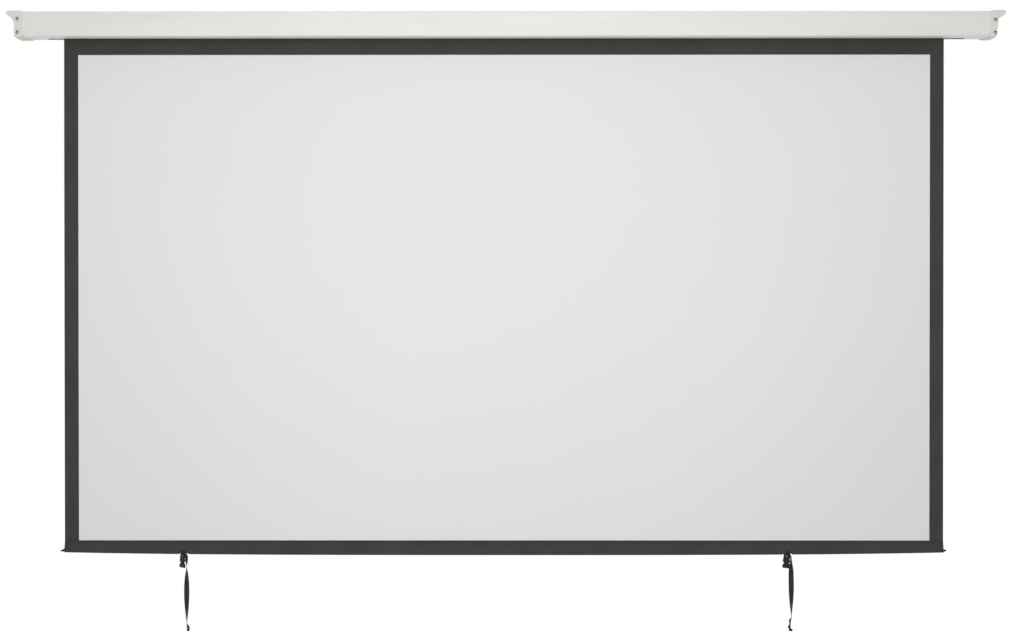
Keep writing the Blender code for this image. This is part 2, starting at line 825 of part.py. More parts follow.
PIN_START = HEAD_END + GAP
pin = box(
    "motor_pin",
    (PIN_START, ROLL_Y - PIN_SIDE / 2, -PIN_SIDE / 2),
    (PLATE_OUT, ROLL_Y + PIN_SIDE / 2, PIN_SIDE / 2),
    STEEL,
)
pin_end = turned(
    "pin_end",
    [
        (0, PIN_GROOVE + PIN_TIP),
        (PIN_TIP_R - 0.0006, PIN_GROOVE + PIN_TIP),
        (PIN_TIP_R, PIN_GROOVE + PIN_TIP - 0.0006),
        (PIN_TIP_R, PIN_GROOVE),
        (PIN_GROOVE_R, PIN_GROOVE),
        (PIN_GROOVE_R, -0.002),
        (0, -0.002),
    ],
    (PLATE_OUT, ROLL_Y, 0),
    "X",
    steps=24,
)
combine(pin, pin_end, "UNION")

clip = ring(
    "retaining_clip",
    PIN_GROOVE_R + GAP,
    CLIP_R,
    CLIP_THICK,
    (PLATE_OUT + GAP, ROLL_Y, 0),
    "X",
    STEEL,
    steps=24,
)
clip_mouth = box(
    "clip_mouth",
    (PLATE_OUT - 0.002, ROLL_Y - 0.0028, -0.012),
    (PLATE_OUT + 0.004, ROLL_Y + 0.0028, 0),
)
combine(clip, clip_mouth, "DIFFERENCE")

# Roller and all that turns with it
roller_axis = body("roller_axis", (0, ROLL_Y, 0))
tube = ring(
    "roller_tube",
    TUBE_BORE,
    TUBE_R,
    TUBE_RIGHT - TUBE_LEFT,
    (TUBE_LEFT, ROLL_Y, 0),
    "X",
    ALUMINIUM,
    steps=32,
)
wrap = ring(
    "fabric_wrap",
    TUBE_R + GAP,
    TUBE_R + GAP + WRAP_THICK,
    SHEET_RIGHT - SHEET_LEFT,
    (SHEET_LEFT, ROLL_Y, 0),
    "X",
    BLACK_CLOTH,
    steps=32,
)
plug = turned(
    "idler_plug",
    [
        (TUBE_BORE - GAP, PLUG_DEEP),
        (TUBE_BORE - GAP, 0),
        (FLANGE_R, 0),
        (FLANGE_R, -PLUG_FLANGE),
        (IDLER_PIN_R + GAP, -PLUG_FLANGE),
        (IDLER_PIN_R + GAP, PLUG_DEEP),
    ],
    (TUBE_LEFT - GAP, ROLL_Y, 0),
    "X",
    WHITE_PLASTIC,
)
idler_pin = rod(
    "idler_pin",
    IDLER_PIN_R,
    IDLER_PIN_IN - IDLER_PIN_OUT,
    (IDLER_PIN_OUT, ROLL_Y, 0),
    "X",
    STEEL,
    steps=24,
)
shaft = rod(
    "motor_output_shaft",
    SHAFT_R,
    SHAFT_END - SHAFT_START,
    (SHAFT_START, ROLL_Y, 0),
    "X",
    STEEL,
    steps=20,
)
wheel = ring(
    "drive_wheel",
    SHAFT_R + GAP,
    TUBE_BORE - GAP,
    WHEEL_END - WHEEL_START,
    (WHEEL_START, ROLL_Y, 0),
    "X",
    DARK_PLASTIC,
)
crown = ring(
    "limit_crown",
    MOTOR_R + GAP,
    FLANGE_R,
    CROWN_LONG,
    (TUBE_RIGHT + GAP, ROLL_Y, 0),
    "X",
    WHITE_PLASTIC,
)
carry(roller_axis, [tube, wrap, plug, idler_pin, shaft, wheel, crown])

# Sheet
SHEET_FRONT = SHEET_Y - SHEET_THICK / 2
bar_axis = body("bar_axis", (SHEET_MID, SHEET_Y, BAR_Z))
sheet = box(
    "screen_fabric",
    (SHEET_LEFT, SHEET_FRONT, SHEET_BOTTOM),
    (SHEET_RIGHT, SHEET_FRONT + SHEET_THICK, SHEET_TOP),
    BLACK_CLOTH,
)
view = box(
    "viewing_surface",
    (VIEW_X - VIEW_WIDE / 2, SHEET_FRONT - GAP - VIEW_THICK, VIEW_BOTTOM),
    (VIEW_X + VIEW_WIDE / 2, SHEET_FRONT - GAP, VIEW_TOP),
    WHITE_CLOTH,
)


def bow_at(x):
    """How far the bar hangs below its ends at one place along it."""
    across = (x - SHEET_MID) / SHEET_HALF
    return BOW * max(0.0, 1 - across * across)


def bend_down(obj, still_above):
    """Cuts a long piece into steps and lets it sag in a smooth bow below a level."""
    shape = bmesh.new()
    shape.from_mesh(obj.data)
    for step in range(1, BOW_STEPS):
        x = SHEET_LEFT + (SHEET_RIGHT - SHEET_LEFT) * step / BOW_STEPS
        bmesh.ops.bisect_plane(
            shape,
            geom=shape.verts[:] + shape.edges[:] + shape.faces[:],
            plane_co=(x, 0, 0),
            plane_no=(1, 0, 0),
        )
    for vert in shape.verts:
        if vert.co.z < still_above:
            vert.co.z -= bow_at(vert.co.x)
    shape.to_mesh(obj.data)
    shape.free()


def bar_outline(grow):
    """The weight bar's section in Y and Z, grown outwards by an amount."""
    deep = BAR_DEEP / 2 + grow
    high = BAR_HIGH / 2 + grow
    low = (SHEET_Y - deep, BAR_Z - high)
    return block(low, (SHEET_Y + deep, BAR_Z + high), BAR_ROUND + grow)


bar = prism("weight_bar", [bar_outline(0)], (SHEET_LEFT, SHEET_RIGHT), "X", STEEL)
bend_down(bar, 0)
NECK_TOP = SHEET_BOTTOM - GAP
HEM_DEEP = BAR_DEEP / 2 + GAP + HEM_WALL
HEM_ROUND = BAR_ROUND + GAP + HEM_WALL
hem_corners = [
    (SHEET_Y - HEM_NECK / 2, NECK_TOP, 0),
    (SHEET_Y - HEM_NECK / 2, HEM_TOP, 0.0008),
    (SHEET_Y - HEM_DEEP, HEM_TOP, HEM_ROUND),
    (SHEET_Y - HEM_DEEP, HEM_BOTTOM, HEM_ROUND),
    (SHEET_Y + HEM_DEEP, HEM_BOTTOM, HEM_ROUND),
    (SHEET_Y + HEM_DEEP, HEM_TOP, HEM_ROUND),
    (SHEET_Y + HEM_NECK / 2, HEM_TOP, 0.0008),
    (SHEET_Y + HEM_NECK / 2, NECK_TOP, 0),
]
hem = prism(
    "hem_pocket",
    [rounded(hem_corners), bar_outline(GAP)],
    (SHEET_LEFT, SHEET_RIGHT),
    "X",
    BLACK_CLOTH,
)
bend_down(hem, NECK_TOP - 0.0001)
hung = [sheet, view, bar, hem]

# Bar ends: each point of the side view as shares of the length and of the bar's height, and its radius
TIP_EDGES = {
    "left": (
        (0, -0.50, 0),
        (0.86, -0.44, 0.0012),
        (1.0, -0.14, 0.0008),
        (0.38, 0.24, 0.004),
        (0, 0.50, 0),
    ),
    "right": (
        (0, -0.50, 0),
        (0.88, -0.28, 0.0012),
        (1.0, 0.08, 0.0008),
        (0, 0.28, 0),
    ),
}
for side, x in (("left", SHEET_LEFT), ("right", SHEET_RIGHT)):
    sign = SIGN[side]
    long = TIP_LONG[side]
    near = x + sign * GAP
    points = [
        (near + sign * out * long, BAR_Z + up * BAR_HIGH, radius)
        for out, up, radius in TIP_EDGES[side]
    ]
    outline = rounded(points if sign > 0 else points[::-1], 4)
    span = (SHEET_Y - BAR_DEEP / 2, SHEET_Y + BAR_DEEP / 2)
    tip = prism(f"{side}_bar_end", [outline], span, "Y", DARK_PLASTIC)
    around = prism(
        f"{side}_tip_section", [bar_outline(GAP / 2)], sorted((x, near + sign * 2 * long)), "X"
    )
    combine(tip, around, "INTERSECT")
    start = x - sign * TIP_PEG
    peg = rod(
        f"{side}_peg",
        TIP_PEG_R,
        TIP_PEG + long / 2,
        (start, SHEET_Y, BAR_Z),
        "X" if sign > 0 else "-X",
        steps=16,
    )
    combine(tip, peg, "UNION")
    bore = rod(
        f"{side}_peg_bore",
        TIP_PEG_R + GAP,
        TIP_PEG + 0.003,
        (start - sign * 0.001, SHEET_Y, BAR_Z),
        "X" if sign > 0 else "-X",
        steps=16,
    )
    combine(bar, bore, "DIFFERENCE")
    hung.append(tip)


def hem_bottom_at(x):
    """The level of the hem's lower edge at one place along it."""
    return HEM_BOTTOM - bow_at(x)


def anchor(side, x):
    """The webbing that passes under the hem, holds the buckle's crossbar and carries the tail."""
    low = hem_bottom_at(x)
    sag = low - HEM_BOTTOM
    inner = HEM_DEEP + GAP
    outer = inner + WEB_THICK
    bottom = low - GAP - WEB_THICK
    middle = BAR_Z + sag
    outside = rounded(
        [
            (SHEET_Y - outer, middle + 0.003, 0),
            (SHEET_Y - outer, bottom, HEM_ROUND + GAP + WEB_THICK),
            (SHEET_Y + outer, bottom, HEM_ROUND + GAP + WEB_THICK),
            (SHEET_Y + outer, middle + 0.003, 0),
            (SHEET_Y + inner, middle + 0.003, 0),
            (SHEET_Y + inner, low - GAP, HEM_ROUND + GAP),
            (SHEET_Y - inner, low - GAP, HEM_ROUND + GAP),
            (SHEET_Y - inner, middle + 0.003, 0),
        ],
        5,
    )
    span = (x - WEB_WIDE / 2, x + WEB_WIDE / 2)
    band = prism(f"{side}_strap_band", [outside], span, "X", BLACK_CLOTH)
    hole_r = CROSSBAR_R + GAP
    loop_r = hole_r + WEB_THICK
    pivot = (x + BUCKLE_SHIFT, SHEET_Y, bottom - loop_r + 0.0003)
    loop = ring(
        f"{side}_loop",
        hole_r,
        loop_r,
        LOOP_WIDE,
        pivot,
        "X",
        steps=20,
    )
    loop.rotation_euler = (0, math.pi / 2, BUCKLE_TURN)
    slide = Vector((math.cos(BUCKLE_TURN), math.sin(BUCKLE_TURN), 0)) * LOOP_WIDE / 2
    loop.location = Vector(pivot) - slide
    combine(band, loop, "UNION")
    tab = box(
        f"{side}_tail_tab",
        (x + WEB_WIDE / 2 - 0.0009, SHEET_Y - 0.005, bottom - TAB_DROP),
        (x + WEB_WIDE / 2 - 0.0001, SHEET_Y + 0.005, bottom + WEB_THICK / 2),
    )
    combine(band, tab, "UNION")
    return band, Vector(pivot)


def tail_section(side, distance):
    """The half width of the tail, and how far it has turned, at a distance below its top."""
    radius = WEB_WIDE / 2
    half = radius
    if distance < radius:
        half = math.sqrt(max(radius**2 - (radius - distance) ** 2, 1e-7))
    turned_for = max(0.0, distance - TAIL_START[side])
    return half, math.pi * turned_for / TAIL_TURN[side]


def tail(side, x):
    """A webbing tail that hangs with a slow twist, lofted through flat sections."""
    top = hem_bottom_at(x) - 2 * GAP - WEB_THICK
    pivot = Vector((x + WEB_WIDE / 2 + GAP + WEB_THICK / 2, SHEET_Y, top - WEB_WIDE / 2))
    starts = [0.0002, 0.0009, 0.0022, 0.0042]
    rest = WEB_WIDE / 2
    drops = starts + [
        rest + (TAIL_LONG - rest) * step / TAIL_STEPS for step in range(TAIL_STEPS + 1)
    ]
    mesh = bpy.data.meshes.new(f"{side}_strap_tail")
    shape = bmesh.new()
    rows = []
    for drop in drops:
        half, turn = tail_section(side, drop)
        along = Vector((-math.sin(turn), math.cos(turn), 0))
        across = Vector((math.cos(turn), math.sin(turn), 0))
        level = Vector((0, 0, WEB_WIDE / 2 - drop))
        row = []
        for way, face in ((-1, -1), (1, -1), (1, 1), (-1, 1)):
            spot = level + along * half * way + across * face * WEB_THICK / 2
            row.append(shape.verts.new(spot))
        rows.append(row)
    for upper, lower in zip(rows, rows[1:]):
        for index in range(4):
            after = (index + 1) % 4
            corners = (upper[index], lower[index], lower[after], upper[after])
            shape.faces.new(corners)
    shape.faces.new(rows[0])
    shape.faces.new(rows[-1][::-1])
    bmesh.ops.recalc_face_normals(shape, faces=shape.faces)
    shape.to_mesh(mesh)
    shape.free()
    return place(f"{side}_strap_tail", mesh, pivot, BLACK_CLOTH)


def buckle_shape(name, outlines, half, look=None):
    """A flat moulding across the buckle's width, in the buckle's own frame."""
    return prism(name, outlines, (-half, half), "Y", look)


def set_in_buckle(obj, pivot):
    """Moves a piece drawn round the crossbar to its place on the strap."""
    obj.location = pivot
    obj.rotation_euler = (0, 0, BUCKLE_TURN)
    return obj


def female_half(side, pivot):
    """The buckle's upper half: a crossbar in the loop, and a flat pocket open below and at the sides."""
    outline = rounded(
        [
            (-NECK_HALF, BUCKLE_HALF, 0),
            (-NECK_HALF, -WINDOW_DROP, 0),
            (-BULGE_HALF, -BULGE_DROP, 0.002),
            (-WAIST_HALF, -MOUTH_DROP, 0),
            (WAIST_HALF, -MOUTH_DROP, 0),
            (BULGE_HALF, -BULGE_DROP, 0.002),
            (NECK_HALF, -WINDOW_DROP, 0),
            (NECK_HALF, BUCKLE_HALF, 0),
        ],
        3,
    )
    female = buckle_shape(f"{side}_buckle_female", [outline], BUCKLE_HALF, DARK_PLASTIC)
    set_in_buckle(female, pivot)
    ends = [(-BUCKLE_HALF, -0.03, 0), (BUCKLE_HALF, -0.03, 0)]
    ends += [(BUCKLE_HALF, BUCKLE_HALF, BUCKLE_HALF * 0.98)]
    ends += [(-BUCKLE_HALF, BUCKLE_HALF, BUCKLE_HALF * 0.98)]
    keep = prism(f"{side}_female_round", [rounded(ends, 6)], (-0.02, 0.02), "X")
    combine(female, set_in_buckle(keep, pivot), "INTERSECT")
    room = NECK_HALF - RAIL
    window = box(f"{side}_female_window", (-room, -0.01, -WINDOW_DROP), (room, 0.01, 0.01))
    mesh = window.data
    mesh.transform(Matrix.Translation(window.location))
    combine(female, set_in_buckle(window, pivot), "DIFFERENCE")
    bar_cut = rod(f"{side}_crossbar", CROSSBAR_R, 2 * room + 0.001, pivot, "X", steps=20)
    bar_cut.rotation_euler = (0, math.pi / 2, BUCKLE_TURN)
    slide = Vector((math.cos(BUCKLE_TURN), math.sin(BUCKLE_TURN), 0))
    bar_cut.location = pivot - slide * (room + 0.0005)
    combine(female, bar_cut, "UNION")
    pocket = box(
        f"{side}_female_pocket",
        (-POCKET_HALF, -POCKET_THICK / 2, -0.04),
        (POCKET_HALF, POCKET_THICK / 2, -WINDOW_DROP - 0.0018),
    )
    pocket.data.transform(Matrix.Translation(pocket.location))
    combine(female, set_in_buckle(pocket, pivot), "DIFFERENCE")
    gates = box(
        f"{side}_female_gates",
        (-0.02, -POCKET_THICK / 2, -BULGE_DROP - 0.0015),
        (0.02, POCKET_THICK / 2, -BULGE_DROP + 0.0045),
    )
    gates.data.transform(Matrix.Translation(gates.location))
    combine(female, set_in_buckle(gates, pivot), "DIFFERENCE")
    return female


def male_half(side, pivot):
    """The buckle's lower half: a base with a groove for webbing, a middle guide and two springy prongs."""
    mouth = -MOUTH_DROP - GAP
    slot_half = NECK_HALF - 2 * RAIL
    base = rounded(
        [
            (-WAIST_HALF, mouth, 0),
            (-BULGE_HALF, -BASE_DROP, 0.001),
            (-BULGE_HALF, -BUCKLE_DROP, 0.0008),
            (BULGE_HALF, -BUCKLE_DROP, 0.0008),
            (BULGE_HALF, -BASE_DROP, 0.001),
            (WAIST_HALF, mouth, 0),
        ],
        3,
    )
    male = buckle_shape(f"{side}_buckle_male", [base], BUCKLE_HALF, DARK_PLASTIC)
    set_in_buckle(male, pivot)
    groove = box(
        f"{side}_web_groove",
        (-slot_half, -BUCKLE_HALF + 0.0009, -BUCKLE_DROP + 0.0022),
        (slot_half, BUCKLE_HALF + 0.001, -BASE_DROP - 0.0008),
    )
    groove.data.transform(Matrix.Translation(groove.location))
    combine(male, set_in_buckle(groove, pivot), "DIFFERENCE")
    inner = POCKET_HALF - GAP - PRONG_WIDE
    outer = POCKET_HALF - GAP
    barb = -BULGE_DROP + 0.0030
    thick = POCKET_THICK / 2 - GAP
    for way, label in ((-1, "left"), (1, "right")):
        points = [
            (inner + 0.0006, mouth - 0.001, 0),
            (outer - 0.0008, mouth - 0.001, 0),
            (outer - 0.0008, -BULGE_DROP - 0.001, 0),
            (outer, -BULGE_DROP - 0.0008, 0),
            (outer, barb, 0.0006),
            (outer - 0.0016, -PRONG_TOP_DROP, 0.0006),
            (inner, -PRONG_TOP_DROP, 0.0004),
        ]
        outline = rounded(mirrored(points, way), 2)
        prong = buckle_shape(f"{side}_prong_{label}", [outline], thick)
        combine(male, set_in_buckle(prong, pivot), "UNION")
    guide = buckle_shape(
        f"{side}_guide",
        [block((-0.0012, mouth - 0.001), (0.0012, -PRONG_TOP_DROP - 0.001), 0.0005, 2)],
        thick,
    )
    combine(male, set_in_buckle(guide, pivot), "UNION")
    return male


for side, x in STRAP_X.items():
    band, pivot = anchor(side, x)
    hung.append(band)
    tail_piece = tail(side, x)
    carry(body(f"{side}_tail_axis", tuple(tail_piece.location)), [tail_piece])
    buckle_axis = body(f"{side}_buckle_axis", tuple(pivot))
    female = female_half(side, pivot)
    male = male_half(side, pivot)
    carry(buckle_axis, [female, male])

carry(bar_axis, hung)
bpy.context.view_layer.update()
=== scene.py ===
"""Motorized projector screen dressed for its photo, with a studio and the photo's camera.

Metres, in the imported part's own frame: the origin is the centre of the casing's flat back, +X runs to
the motor end, +Y to the wall and +Z up.
"""

import json
import logging
import math
from dataclasses import dataclass
from enum import Enum
from typing import Dict, List, Optional, Sequence, Tuple, Union

import bmesh
import bpy
from mathutils import Matrix, Vector


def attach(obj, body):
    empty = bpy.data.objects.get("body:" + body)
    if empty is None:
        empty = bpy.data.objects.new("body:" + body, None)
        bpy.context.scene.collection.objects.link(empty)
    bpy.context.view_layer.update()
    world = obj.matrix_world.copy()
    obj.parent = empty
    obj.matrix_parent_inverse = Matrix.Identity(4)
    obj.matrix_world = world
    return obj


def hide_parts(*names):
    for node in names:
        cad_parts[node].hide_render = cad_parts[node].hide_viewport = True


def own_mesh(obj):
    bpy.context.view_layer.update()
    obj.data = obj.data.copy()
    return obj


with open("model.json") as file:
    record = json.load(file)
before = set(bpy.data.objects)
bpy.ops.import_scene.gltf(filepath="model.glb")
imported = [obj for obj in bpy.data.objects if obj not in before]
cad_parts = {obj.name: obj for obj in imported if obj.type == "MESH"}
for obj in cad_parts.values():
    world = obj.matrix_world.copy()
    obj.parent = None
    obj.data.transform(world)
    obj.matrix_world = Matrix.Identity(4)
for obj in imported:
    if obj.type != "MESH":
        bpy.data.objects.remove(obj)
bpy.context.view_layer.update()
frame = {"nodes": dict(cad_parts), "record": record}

Point = Tuple[float, float, float]
Spot = Tuple[float, float]
Colour = Tuple[float, float, float]

# A corner of an outline: its place across and up, and the radius that rounds it
Corner = Tuple[float, float, float]

# Yarns per unit of length, and the axis that they follow one another along
Yarns = Tuple[float, str]

# What the inputs of a node are given, by name or number
Inputs = Dict[Union[int, str], object]

LOG = logging.getLogger("screen")

# Clearance that neighbouring pieces keep
GAP = 0.0003


class Side(Enum):
    """The two ends of the object, with the direction of X that each one faces."""

    LEFT = -1
    RIGHT = 1

    @property
    def label(self) -> str:
        """The side's name as the part's nodes spell it."""
        return self.name.lower()


class Axis(Enum):
    """The direction that a section is extruded along, as the turn from the drawing's own frame."""

    X = ((0, 0, 1), (1, 0, 0), (0, 1, 0))
    Y = ((1, 0, 0), (0, 0, -1), (0, 1, 0))
    Z = ((1, 0, 0), (0, 1, 0), (0, 0, 1))

    @property
    def upright_turn(self) -> Matrix:
        """The rotation that lays something that stands along Z along this axis."""
        angle, letter = {"X": (math.pi / 2, "Y"), "Y": (math.pi / 2, "X"), "Z": (0.0, "Z")}[self.name]
        return Matrix.Rotation(angle, 4, letter)


# Finishes


class Tree:
    """A node tree that grows one node at a time."""

    def __init__(self, tree: bpy.types.NodeTree) -> None:
        """Takes a tree that exists."""
        self.tree = tree

    def node(self, kind: str, inputs: Optional[Inputs] = None, **settings: object) -> bpy.types.Node:
        """Adds one node, sets its properties and fills its inputs.

        Args:
            kind: The node's type, without its ShaderNode prefix.
            inputs: A value, or the output that feeds it, for each input by name or number.
            settings: Property values by name.

        Returns:
            The new node.
        """
        made = self.tree.nodes.new("ShaderNode" + kind)
        for key, value in settings.items():
            setattr(made, key, value)
        for key, value in (inputs or {}).items():
            if isinstance(value, bpy.types.NodeSocket):
                self.tree.links.new(value, made.inputs[key])
            else:
                made.inputs[key].default_value = value
        return made


class Graph(Tree):
    """The node tree of one material, with the patterns that the finishes share."""

    STRIPES_AT_SCALE_ONE = 3.1831

    def __init__(self, name: str) -> None:
        """Starts a material that holds only its shader and its output.

        Args:
            name: The material's name.
        """
        self.material = bpy.data.materials.new(name)
        self.material.use_nodes = True
        super().__init__(self.material.node_tree)
        self.shader = self.tree.nodes["Principled BSDF"]

    def feed(self, name: str, source: bpy.types.NodeSocket) -> None:
        """Links an output to the shader's input of a name."""
        self.tree.links.new(source, self.shader.inputs[name])

    def place(self, scale: Sequence[float], uv: bool = False) -> bpy.types.NodeSocket:
        """Gives object coordinates, or the mesh's own unwrapping, times a scale."""
        where = self.node("TexCoord").outputs["UV" if uv else "Object"]
        return self.node("Mapping", {"Scale": scale, "Vector": where}).outputs["Vector"]

    def noise(self, scale: Sequence[float], detail: float = 2.0, rough: float = 0.5) -> bpy.types.NodeSocket:
        """Adds a cloud pattern, with values from 0 to 1.

        Args:
            scale: Repeats per metre along each axis.
            detail: How many finer layers it has.
            rough: How strong the finer layers are.

        Returns:
            The pattern.
        """
        made = self.node("TexNoise", {"Scale": 1.0, "Detail": detail, "Roughness": rough})
        self.tree.links.new(self.place(scale), made.inputs["Vector"])
        return made.outputs["Fac"]

    def wave(self, count: float, direction: str, uv: bool) -> bpy.types.NodeSocket:
        """Adds an even stripe pattern, as yarns make, with values from 0 to 1.

        Args:
            count: Stripes per unit of length.
            direction: The axis that the stripes follow one another along.
            uv: Uses the mesh's own unwrapping.

        Returns:
            The pattern.
        """
        inputs = {"Scale": count / self.STRIPES_AT_SCALE_ONE, "Distortion": 0.0}
        made = self.node("TexWave", inputs, bands_direction=direction, wave_profile="SIN")
        self.tree.links.new(self.place((1, 1, 1), uv), made.inputs["Vector"])
        return made.outputs["Fac"]

    def weave(self, first: Yarns, second: Yarns, uv: bool = False) -> bpy.types.NodeSocket:
        """Crosses two stripe patterns and gives their product."""
        stripes = {number: self.wave(*yarns, uv) for number, yarns in enumerate((first, second))}
        return self.node("Math", stripes, operation="MULTIPLY").outputs["Value"]

    def tint(self, fac: bpy.types.NodeSocket, ends: Sequence[Colour], span: Spot = (0.3, 0.7)) -> None:
        """Colours the surface by a pattern.

        Args:
            fac: The pattern.
            ends: The colours at its low and at its high values.
            span: Values between which the one blends into the other.
        """
        ramp = self.node("ValToRGB", {"Fac": fac})
        for stop, place, colour in zip(ramp.color_ramp.elements, span, ends):
            stop.position = place
            stop.color = (*colour, 1)
        self.feed("Base Color", ramp.outputs["Color"])

    def roughen(self, fac: bpy.types.NodeSocket, low: float, high: float) -> None:
        """Varies the roughness by a pattern, from low where it is 0 to high where it is 1."""
        made = self.node("MapRange", {"To Min": low, "To Max": high, "Value": fac})
        self.feed("Roughness", made.outputs["Result"])

    def bump(self, height: bpy.types.NodeSocket, distance: float, strength: float) -> None:
        """Raises the surface by a pattern, to a height in metres of which a share shows."""
        made = self.node("Bump", {"Distance": distance, "Strength": strength, "Height": height})
        self.feed("Normal", made.outputs["Normal"])

    def set(self, **values: float) -> None:
        """Sets plain numbers on the shader's own sockets, whose names are given with _ for a space."""
        for key, value in values.items():
            self.shader.inputs[key.replace("_", " ")].default_value = value


@dataclass(frozen=True)
class Finish:
    """What all finishes share: a base colour and the way to a material."""

    colour: Colour

    def shade(self, share: float) -> Colour:
        """Gives the base colour multiplied by a share, to make it lighter or darker."""
        return tuple(min(1.0, part * share) for part in self.colour)

    def draw(self, graph: Graph) -> None:
        """Adds the finish's own nodes to a material's graph."""
        raise NotImplementedError

    def build(self, name: str) -> bpy.types.Material:
        """Makes the material.

        Args:
            name: The material's name.

        Returns:
            The material.
        """
        graph = Graph(name)
        self.draw(graph)
        return graph.material


@dataclass(frozen=True)
class PowderCoat(Finish):
    """Satin powder coat over sheet metal, with a faint orange peel."""

    colour: Colour = (0.715, 0.715, 0.688)
    roughness: float = 0.42
    peel: float = 0.00004

    def draw(self, graph: Graph) -> None:
        """Adds long faint clouds and a fine peel.

        Args:
            graph: The material's graph.
        """
        graph.set(Metallic=0.0, Specular_IOR_Level=0.45)
        graph.tint(graph.noise((3, 30, 30), 3.0), (self.shade(0.97), self.shade(1.02)))
        grain = graph.noise((900, 900, 900), 2.0)
        graph.roughen(grain, self.roughness - 0.06, self.roughness + 0.06)
        graph.bump(grain, self.peel, 0.5)


@dataclass(frozen=True)
class MouldedPlastic(Finish):
    """Injection moulded plastic with a spark-eroded grain."""

    roughness: float = 0.55
    grain: float = 700.0
    relief: float = 0.00006
    gloss: float = 0.4

    def draw(self, graph: Graph) -> None:
        """Adds small clouds and the mould's grain.

        Args:
            graph: The material's graph.
        """
        graph.set(Metallic=0.0, Specular_IOR_Level=self.gloss)
        graph.tint(graph.noise((60, 60, 60), 4.0, 0.6), (self.shade(0.93), self.shade(1.05)))
        fine = graph.noise((self.grain,) * 3, 3.0, 0.6)
        graph.roughen(fine, self.roughness - 0.08, self.roughness + 0.1)
        graph.bump(fine, self.relief, 0.6)


@dataclass(frozen=True)
class CoatedCloth(Finish):
    """Black coated cloth with a plain weave under its skin."""

    colour: Colour = (0.042, 0.039, 0.036)
    yarns: float = 1400.0
    roughness: float = 0.8

    def draw(self, graph: Graph) -> None:
        """Adds clouds and the weave.

        Args:
            graph: The material's graph.
        """
        graph.set(Metallic=0.0, Specular_IOR_Level=0.25, Sheen_Weight=0.05)
        graph.tint(graph.noise((9, 9, 9), 4.0, 0.55), (self.shade(0.9), self.shade(1.12)))
        weave = graph.weave((self.yarns, "X"), (self.yarns, "Z"))
        graph.roughen(weave, self.roughness - 0.08, self.roughness + 0.08)
        graph.bump(weave, 0.00006, 0.4)


@dataclass(frozen=True)
class ProjectionCoat(Finish):
    """Matte white projection coating, with a very fine weave and slow changes of tone."""

    colour: Colour = (0.74, 0.735, 0.725)
    yarns: float = 2600.0

    def draw(self, graph: Graph) -> None:
        """Adds broad faint clouds and the weave.

        Args:
            graph: The material's graph.
        """
        graph.set(Metallic=0.0, Specular_IOR_Level=0.15)
        graph.tint(graph.noise((1.3, 1.3, 1.1), 2.0), (self.shade(0.985), self.colour))
        weave = graph.weave((self.yarns, "X"), (self.yarns, "Z"))
        graph.roughen(weave, 0.86, 0.95)
        graph.bump(weave, 0.00002, 0.3)


@dataclass(frozen=True)
class Webbing(Finish):
    """Woven webbing, ribbed across its length and unwrapped in millimetres."""

    colour: Colour = (0.0065, 0.0065, 0.006)
    ribs: float = 1.1

    def draw(self, graph: Graph) -> None:
        """Adds the ribs and the yarns that cross them.

        Args:
            graph: The material's graph.
        """
        graph.set(Metallic=0.0, Specular_IOR_Level=0.35, Sheen_Weight=0.08, Sheen_Roughness=0.4)
        weave = graph.weave((self.ribs, "Y"), (self.ribs * 0.8, "X"), True)
        graph.tint(weave, (self.colour, self.shade(1.5)), (0.2, 0.8))
        graph.roughen(weave, 0.55, 0.75)
        graph.bump(weave, 0.0002, 0.6)


@dataclass(frozen=True)
class DrawnMetal(Finish):
    """Metal with fine marks along the direction that it was drawn or rolled in."""

    roughness: float = 0.34
    marks: Point = (4, 900, 900)

    def draw(self, graph: Graph) -> None:
        """Adds the marks, which show in its colour, its gloss and its relief.

        Args:
            graph: The material's graph.
        """
        graph.set(Metallic=1.0)
        streaks = graph.noise(self.marks, 3.0, 0.6)
        graph.tint(streaks, (self.shade(0.92), self.shade(1.06)))
        graph.roughen(streaks, self.roughness - 0.08, self.roughness + 0.12)
        graph.bump(streaks, 0.00002, 0.5)


@dataclass(frozen=True)
class FloorPaint(Finish):
    """A plain pale studio floor."""

    colour: Colour = (0.86, 0.86, 0.86)

    def draw(self, graph: Graph) -> None:
        """Adds very faint clouds.

        Args:
            graph: The material's graph.
        """
        graph.set(Metallic=0.0, Roughness=0.7, Specular_IOR_Level=0.2)
        graph.tint(graph.noise((1, 1, 1), 2.0), (self.shade(0.99), self.colour))


class Finishes:
    """Every finish of the object, built once and shared by the pieces."""

    def __init__(self) -> None:
        """Builds the materials."""
        self.paint = PowderCoat().build("paint")
        self.cap = MouldedPlastic((0.70, 0.673, 0.637), 0.6).build("cap_plastic")
        # Painted shade: a dark grey plastic that stands for the shadow deep in the screw recesses
        self.painted_recess_shade = MouldedPlastic((0.19, 0.18, 0.166), 0.8).build("painted_recess_shade_plastic")
        self.dark = MouldedPlastic((0.012, 0.0115, 0.011), 0.5, 500.0, 0.00004, 0.26).build("dark_plastic")
        self.white_plastic = MouldedPlastic((0.78, 0.78, 0.75), 0.45, 500.0, 0.00004).build("white_plastic")
        self.cloth = CoatedCloth().build("black_cloth")
        self.thread = Webbing((0.03, 0.028, 0.027)).build("thread")
        self.coat = ProjectionCoat().build("white_cloth")
        self.webbing = Webbing().build("webbing")
        self.steel = DrawnMetal((0.56, 0.56, 0.57)).build("steel")
        self.zinc = DrawnMetal((0.62, 0.62, 0.60), 0.38, (300, 300, 300)).build("zinc")
        self.aluminium = DrawnMetal((0.77, 0.78, 0.80), 0.3).build("aluminium")


# Shapes


